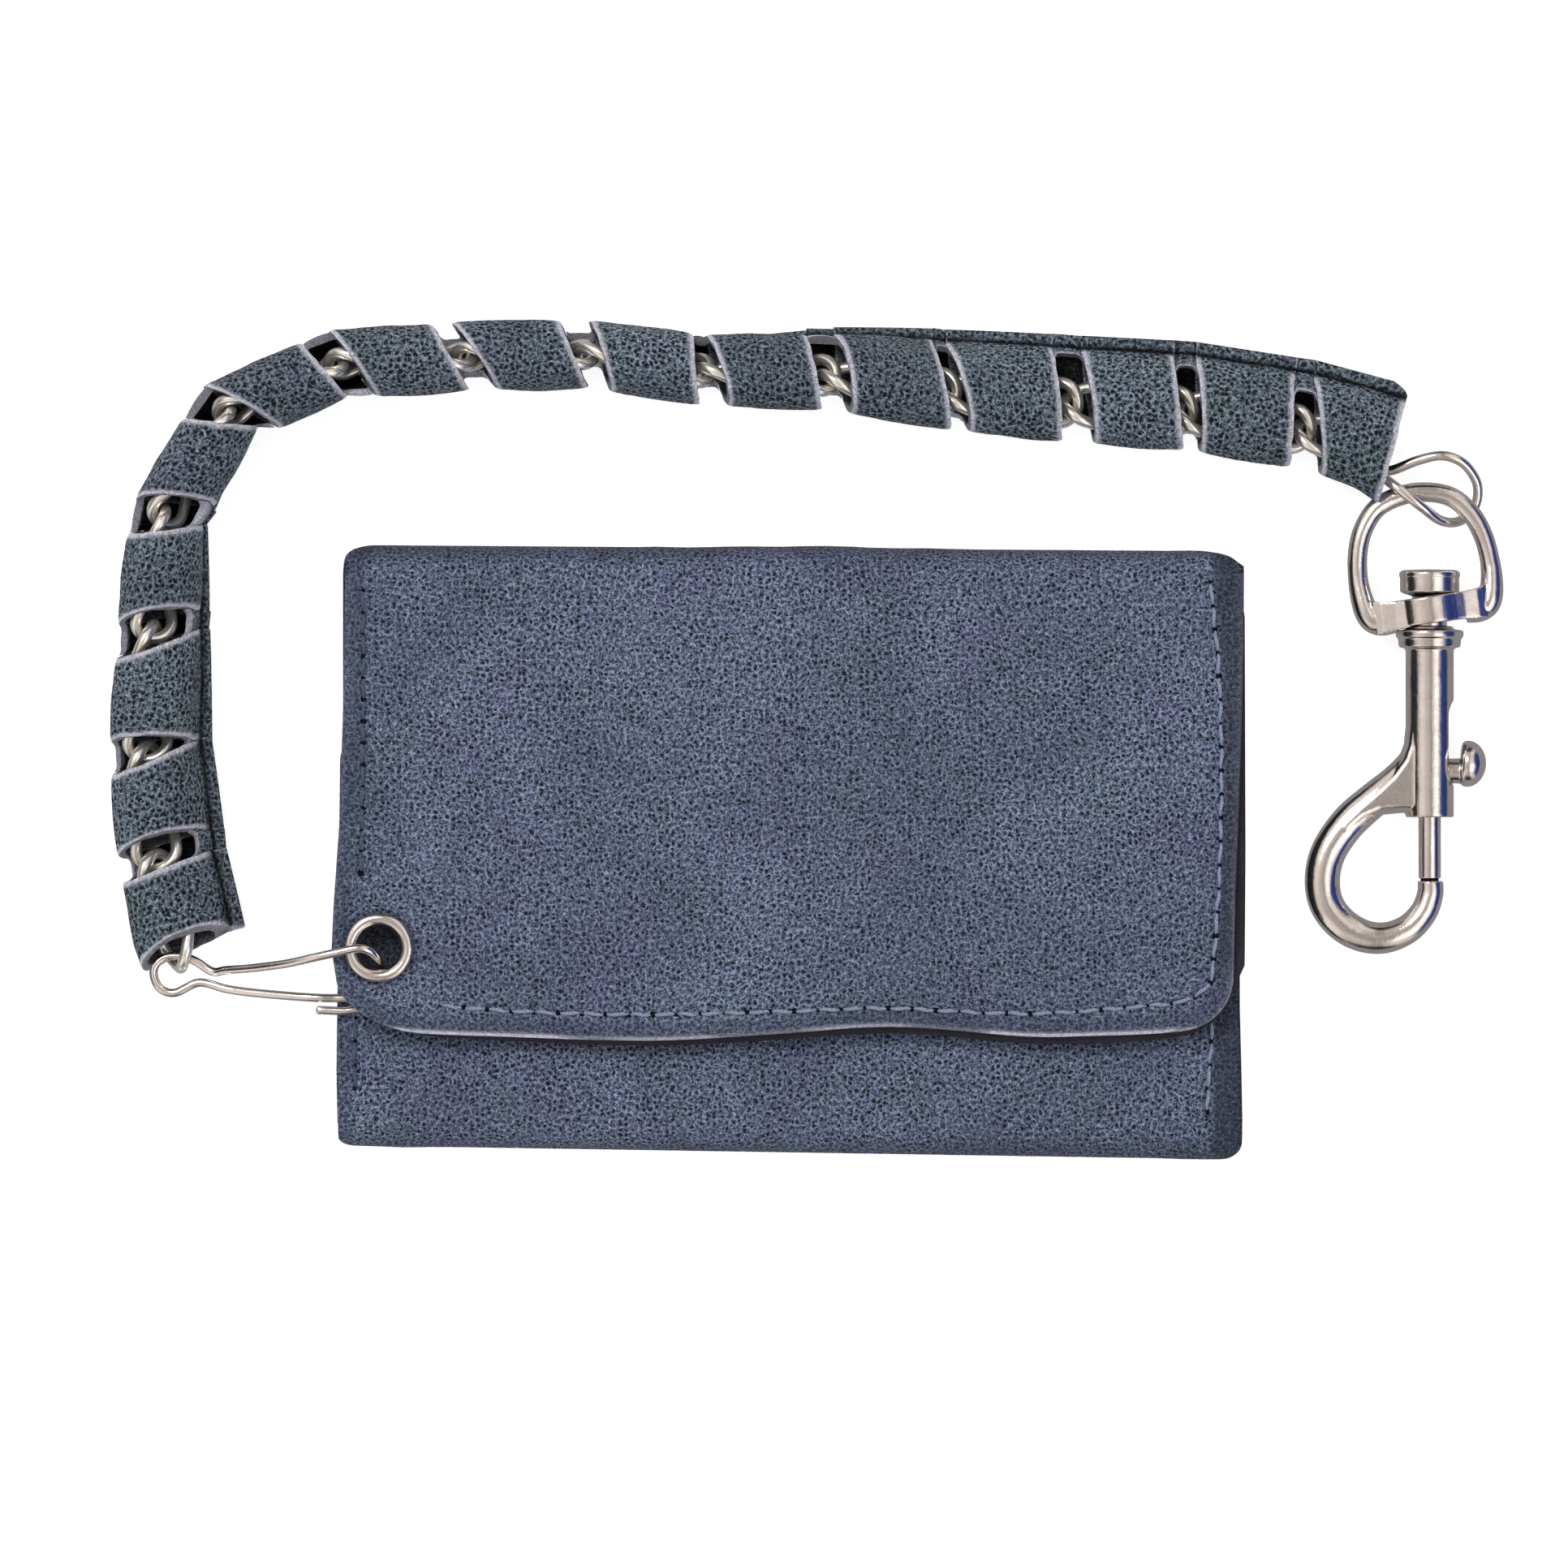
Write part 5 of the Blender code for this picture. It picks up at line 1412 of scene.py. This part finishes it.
# links as (sleeve, from, to, twist at each end in degrees): two in each sleeve but the end ones
first_joint = chain_point(1)
links = [(1, first_joint - strap_axes(1, 0)[0] * 7.0, first_joint, 0, 45)]
for i in range(2, SLEEVES):
    a, b = chain_point(i - 1), chain_point(i)
    links += [(i, a, (a + b) / 2, -45, 45), (i, (a + b) / 2, b, -45, 45)]
links.append((SLEEVES, chain_point(SLEEVES - 1), Vector((-77.05, -14.0, 4.9)), -45, 90))
for number, (i, a, b, angle_start, angle_end) in enumerate(links, 1):
    fin = strap_axes(i, (FIN_ANGLE[i - 1] + FIN_ANGLE[i]) / 2)[1]
    link = solid("chain_link_wire_%02d" % number,
                 twisted_link(a, b, fin, angle_start, angle_end), CHAIN)
    fit(link, "strap_%02d" % i, "chain_link_%02d" % number)

# =====================================================================
# bolt snap: its axis runs along y
# =====================================================================
SNAP_X, SWIVEL_Y, SNAP_Z = (c / MM for c in JOINTS["hook_swivel"]["pos_m"])
SWIVEL = Vector((SNAP_X, SWIVEL_Y, SNAP_Z))
EYE_TILT = Matrix.Rotation(math.radians(8.0), 3, "Z")
EYE_AXIS = EYE_TILT @ Vector(ALONG_Y)
KNOB_Y = 9.95
BARREL_LOW, BARREL_HIGH = 4.1, 27.8


def snap_lathe(profile, sides):
    """Turned about the snap's axis; heights are y."""
    return lathe(profile, sides, (SNAP_X, 0, SNAP_Z), ALONG_Y)


def prism(rows):
    """Closed block through matching cross-sections, with its faces turned outward."""
    verts = [Vector(p)[:] for row in rows for p in row]
    block = solid("block", (verts, skin(rows_of(len(rows), len(rows[0])))), NICKEL)
    verts = np.array([v.co[:] for v in block.data.vertices]) / MM
    faces = [list(p.vertices) for p in block.data.polygons]
    bpy.data.objects.remove(block, do_unlink=True)
    return verts, faces


def casting(name, parts, voxel, smooth_steps):
    """Closed shapes melted into one."""
    obj = solid(name, merge(parts), NICKEL)
    melt = obj.modifiers.new("melt", "REMESH")
    melt.mode = "VOXEL"
    melt.voxel_size = voxel * MM
    melt.use_smooth_shade = True
    relax = obj.modifiers.new("relax", "SMOOTH")
    relax.factor = 0.5
    relax.iterations = smooth_steps
    bake(obj)
    obj.data.shade_smooth()
    return obj


def machine(obj, cutters):
    """Cuts shapes out of a casting and leaves the cut edges crisp."""
    cut_away(obj, [solid("cutter", cutter, NICKEL) for cutter in cutters])
    obj.data.shade_smooth()
    obj.data.set_sharp_from_angle(angle=math.radians(42))


# right half of the eye's loop, from the swivel point (x, y)
EYE_HALF = [(4.6, -0.75), (6.3, -0.85), (7.55, -0.1), (8.2, 1.9), (8.42, 4.9), (8.0, 8.4),
            (6.75, 11.5), (4.3, 14.0), (0.0, 14.95)]
# shoulders between the collar and the loop: (x, y from, y to, half height)
SHOULDER = [(2.9, -1.6, 1.72, 3.2), (4.4, -1.7, 1.75, 2.55), (6.1, -1.9, 1.9, 2.15),
            (7.2, -2.0, 2.2, 1.6)]


def eye_place(x, y, z):
    return SWIVEL + EYE_TILT @ Vector((x, y, z))


def build_eye():
    """Loop that flattens into a square band round the post."""
    loop = catmull([(x, y, 0.0) for x, y in EYE_HALF]
                   + [(-x, y, 0.0) for x, y in EYE_HALF[-2::-1]], 6)
    radii = []
    for _, y, _ in loop:
        low = float(1 - smoothstep(0.0, 6.0, y))
        radii.append((lerp(1.26, 1.55, low), lerp(1.26, 1.75, low)))
    collar = rounded([(2.0, -1.72), (4.4, -1.72), (4.4, 1.72), (2.0, 1.72)], 0.22, 3, True)
    parts = [tube([eye_place(*p)[:] for p in loop], radii, 24),
             lathe(collar, 56, SWIVEL, EYE_AXIS, True)]
    # the left shoulder sits slightly lower
    for side, lower_by, upper_by in ((-1, 0.25, 0.1), (1, 0.0, 0.0)):
        rows = []
        for x, y0, y1, half in SHOULDER:
            y0, y1 = y0 - lower_by, y1 - upper_by
            outline = ((y0, -half), (y1, -half), (y1, half), (y0, half))
            rows.append([eye_place(side * x, y, z) for y, z in outline])
        parts.append(prism(rows))
    eye = casting("snap_eye", parts, voxel=0.14, smooth_steps=3)
    machine(eye, [lathe(cylinder(2.75, -4, 4), 48, SWIVEL, EYE_AXIS)])
    fit(eye, "eye", "swivel_eye")


def build_post():
    """Swivel post with its button head."""
    profile = rounded([(0, -6.2), (2.2, -6.2), (2.2, 1.75), (3.3, 2.05), (3.75, 2.3), (3.75, 4.1),
                       (3.85, 4.25), (3.85, 4.75), (3.4, 5.05), (1.4, 5.12), (0, 5.15)], 0.16, 3)
    post = solid("snap_post", lathe(profile, 96, SWIVEL[:], ALONG_Y), NICKEL, sharp=45)
    fit(post, "hook", "swivel_post")


# centre line of the hook (x, y), and its half width and half height by share of its length
HOOK_LINE = [
    (80.6, 14.8), (79.3, 11.6), (77.0, 8.9), (73.9, 6.3), (70.7, 3.4), (68.3, -0.1),
    (67.45, -3.4), (67.85, -6.6), (69.6, -9.15), (72.3, -10.8), (75.3, -11.15), (78.2, -10.05),
    (80.2, -7.95), (81.05, -5.7), (81.1, -3.95)]
HOOK_WIDTH = [(0, 1.9), (0.12, 2.05), (0.3, 2.3), (0.5, 2.25), (0.68, 2.15), (0.85, 1.85),
              (1.0, 1.62)]
HOOK_HEIGHT = [(0, 2.0), (0.2, 2.1), (0.5, 2.15), (0.8, 2.0), (1.0, 1.62)]
# flat cheek between the barrel and the hook, counter-clockwise (x, y)
CHEEK = [
    (81.3, 23.5), (78.05, 23.5), (78.0, 19.5), (77.95, 15.9), (77.7, 13.4), (77.1, 11.7),
    (75.8, 9.9), (73.8, 8.0), (71.6, 6.1), (69.6, 4.2), (68.6, 2.6), (70.4, 0.9), (71.6, 2.3),
    (72.9, 3.45), (74.9, 4.35), (77.5, 4.6), (81.3, 4.45)]


def inset_outline(points, distance):
    out, m = [], len(points)
    for k in range(m):
        a, b, c = Vector(points[k - 1]), Vector(points[k]), Vector(points[(k + 1) % m])
        before = Vector((-(b - a).y, (b - a).x)).normalized()
        after = Vector((-(c - b).y, (c - b).x)).normalized()
        middle = (before + after).normalized()
        out.append(b + middle * (distance / max(0.5, middle.dot(after))))
    return out


def cheek_block():
    rows = []
    for z in (-2.25, -2.1, -1.75, -1.2, -0.5, 0.5, 1.2, 1.75, 2.1, 2.25):
        inset = 3.0 - math.sqrt(9.0 - z * z) if abs(z) < 2.2 else 1.25
        rows.append([(p.x, p.y, SNAP_Z + z) for p in inset_outline(CHEEK, inset)])
    return prism(rows)


def knob_slot():
    """Round-ended slot in the right side of the barrel."""
    outline = []
    for centre, first in ((KNOB_Y, 180), (17.0, 0)):
        for a in np.radians(np.linspace(first, first + 180, 13)):
            outline.append((centre + 2.0 * math.sin(a), 2.0 * math.cos(a)))
    return prism([[(SNAP_X + x, y, SNAP_Z + z) for y, z in outline] for x in (0.0, 7.0)])


def build_hook():
    top = BARREL_HIGH
    barrel = snap_lathe(rounded([
        (0, BARREL_LOW), (3.05, BARREL_LOW), (3.05, top - 2.4), (3.9, top - 2.2),
        (4.0, top - 1.1), (4.3, top - 0.9), (4.3, top - 0.1), (3.1, top + 0.05),
        (2.9, top + 0.45), (0, top + 0.5)], 0.18, 3), 72)
    line = catmull([(x, y, SNAP_Z) for x, y in HOOK_LINE], 8)
    share = run_length(line)
    share = share / share[-1]
    radii = np.stack([look_up(share, HOOK_WIDTH), look_up(share, HOOK_HEIGHT)], axis=1)
    hook = casting("snap_hook_body", [barrel, tube(line, radii, 36), cheek_block()],
                   voxel=0.14, smooth_steps=3)
    slot = knob_slot()
    machine(hook, [snap_lathe(cylinder(1.75, BARREL_LOW - 2, 22.3), 40),    # plunger bore
                   snap_lathe(cylinder(2.5, 23.6, 30), 40),                 # post bore
                   slot,
                   snap_lathe(cylinder(1.2, -5.2, -2.5), 36)])              # in the hook's tip
    fit(hook, "hook", "hook_body")


def build_plunger():
    rod = snap_lathe(rounded(cylinder(1.42, -3.62, 12.2), 0.14, 4), 56)
    fit(solid("snap_plunger", rod, NICKEL, sharp=50), "plunger", "plunger")
    nose = rounded([(0, -4.9), (1.05, -4.9), (1.18, -3.5), (0, -3.5)], 0.1, 2)
    # the nose is of the near-black material: painted shade in the gap between the plunger and the
    # hook's tip
    fit(solid("snap_plunger_nose", snap_lathe(nose, 36), PIT), "plunger", None)


def build_knob():
    """Thumb knob: a stem out of the slot and a domed cap."""
    stem = lathe([(0, 1.35), (1.62, 1.35), (1.58, 3.0), (1.62, 4.4), (0, 4.4)], 40,
                 (SNAP_X, KNOB_Y, SNAP_Z), ALONG_X)
    profile = [(0, 3.95), (2.2, 3.95), (2.62, 4.05), (2.86, 4.35), (2.94, 4.8)]
    for a in np.radians(np.linspace(8, 90, 12))[:-1]:
        profile.append((2.94 * math.cos(a), 4.8 + 2.35 * math.sin(a)))
    profile.append((0, 7.15))
    cap = lathe(profile, 56, (SNAP_X, 11.15, SNAP_Z), (1, -0.06, 0))
    knob = casting("snap_thumb_knob", [stem, cap], voxel=0.11, smooth_steps=2)
    fit(knob, "plunger", "thumb_knob")


def build_spring():
    turns, steps, radius = 7, 24, 1.3
    low, length = 12.6, 9.3
    path = []
    for k in range(turns * steps + 1):
        a = 2 * math.pi * k / steps
        path.append((SNAP_X + radius * math.cos(a), low + length * k / (turns * steps),
                     SNAP_Z + radius * math.sin(a)))
    spring = solid("snap_spring", tube(path, radius=0.22, sides=10), STEEL)
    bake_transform(spring)
    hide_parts("plunger_spring")


build_eye()
build_post()
build_hook()
build_plunger()
build_knob()
build_spring()


# =====================================================================
# stage, in metres: pale floor, soft light, camera straight above
# =====================================================================
def build_floor():
    half, z = 3.0, -0.0002
    mesh = bpy.data.meshes.new("floor")
    mesh.from_pydata([(-half, -half, z), (half, -half, z), (half, half, z), (-half, half, z)],
                     [], [(0, 1, 2, 3)])
    floor = bpy.data.objects.new("floor", mesh)
    bpy.context.collection.objects.link(floor)
    g = new_material("pale_floor")
    cloud = g.noise(g.coords_mm(), scale=0.01)
    g.surface(Base_Color=g.mix(cloud, (0.64, 0.64, 0.645, 1), (0.66, 0.66, 0.66, 1)),
              Roughness=0.8, Specular_IOR_Level=0.1,
              Emission_Color=(1, 1, 1, 1), Emission_Strength=0.74)
    # the metal mirrors a duller floor than the camera sees
    dull = g.node("ShaderNodeEmission", Color=(0.30, 0.285, 0.29, 1), Strength=1.0)
    mirrored = g.node("ShaderNodeLightPath").outputs["Is Glossy Ray"]
    both = g.node("ShaderNodeMixShader", mirrored, g.bsdf.outputs[0], dull.outputs[0])
    g.put(g.tree.nodes["Material Output"].inputs["Surface"], both.outputs[0])
    mesh.materials.append(g.material)


def warm(v):
    return (v, v * 0.95, v * 0.92, 1)


# brightness of the reflected sky by direction: (position from -1..1 as 0..1, colour)
SKY_X = [
    (0.0, warm(0.015)), (0.055, warm(0.02)), (0.085, warm(0.70)), (0.17, warm(0.95)),
    (0.36, warm(0.60)), (0.500, warm(0.56)), (0.512, warm(0.56)), (0.526, warm(0.13)),
    (0.562, warm(0.13)), (0.578, warm(0.80)), (0.72, warm(0.95)), (0.82, warm(0.62)),
    (0.855, (0.03, 0.06, 0.26, 1)), (0.965, (0.015, 0.04, 0.24, 1)),
    (0.99, (0.02, 0.04, 0.20, 1)), (1.0, warm(0.02))]
SKY_Y = [
    (0.0, warm(0.04)), (0.035, warm(0.05)), (0.07, warm(0.9)), (0.2, warm(1.15)),
    (0.36, warm(0.75)), (0.5, warm(1.0)), (0.62, warm(1.1)), (0.78, warm(0.8)),
    (0.90, warm(1.1)), (0.955, warm(0.07)), (1.0, warm(0.03))]


def build_world():
    """Even soft light, with light and dark bands that only reflections see."""
    world = bpy.data.worlds.new("studio")
    bpy.context.scene.world = world
    world.use_nodes = True
    g = Graph(world.node_tree)
    g.tree.nodes.clear()
    output = g.node("ShaderNodeOutputWorld")
    soft = g.node("ShaderNodeBackground", Color=(1.0, 1.0, 1.0, 1), Strength=0.62)
    cards = g.node("ShaderNodeBackground", Strength=1.0)
    direction = g.node("ShaderNodeTexCoord").outputs["Generated"]
    split = g.node("ShaderNodeSeparateXYZ", direction)
    sky_x, sky_y = (g.ramp(g.math("MULTIPLY_ADD", split.outputs[axis], 0.5, 0.5), stops)
                    for axis, stops in (("X", SKY_X), ("Y", SKY_Y)))
    g.put(cards.inputs["Color"], g.mix(1.0, sky_x, sky_y, "MULTIPLY"))
    mirrored = g.node("ShaderNodeLightPath").outputs["Is Glossy Ray"]
    lit = g.node("ShaderNodeMixShader", mirrored, soft.outputs[0], cards.outputs[0])
    # what the camera sees beyond the floor is white
    beyond = g.node("ShaderNodeBackground", Color=(1.0, 1.0, 1.0, 1), Strength=1.05)
    direct = g.node("ShaderNodeLightPath").outputs["Is Camera Ray"]
    seen = g.node("ShaderNodeMixShader", direct, lit.outputs[0], beyond.outputs[0])
    g.put(output.inputs["Surface"], seen.outputs[0])


def add_light(name, place, size, power):
    """Round lamp aimed at the origin."""
    data = bpy.data.lights.new(name, "AREA")
    data.shape = "DISK"
    data.size = size
    data.energy = power
    data.color = (1.0, 0.985, 0.97)
    lamp = bpy.data.objects.new(name, data)
    bpy.context.collection.objects.link(lamp)
    lamp.location = place
    lamp.rotation_euler = (-Vector(place)).to_track_quat("-Z", "Y").to_euler()


def add_camera():
    height, wallet_middle = 1.5, 0.006
    view_width = 0.19803        # width of the view at the wallet's mid height
    data = bpy.data.cameras.new("camera")
    camera = bpy.data.objects.new("camera", data)
    bpy.context.collection.objects.link(camera)
    data.sensor_width = 36.0
    data.sensor_fit = "HORIZONTAL"
    data.lens = data.sensor_width * (height - wallet_middle) / view_width
    data.clip_start = 0.05
    data.clip_end = 10.0
    camera.location = (-0.00062, 0.0083, height)
    bpy.context.scene.camera = camera


build_floor()
build_world()
add_light("key", place=(-0.35, 0.45, 0.9), size=0.35, power=4.2)
add_light("fill", place=(0.6, -0.3, 0.8), size=0.8, power=1.2)
add_camera()
view = bpy.context.scene.view_settings
view.view_transform = "Standard"
view.look = "None"
view.exposure = 0.0
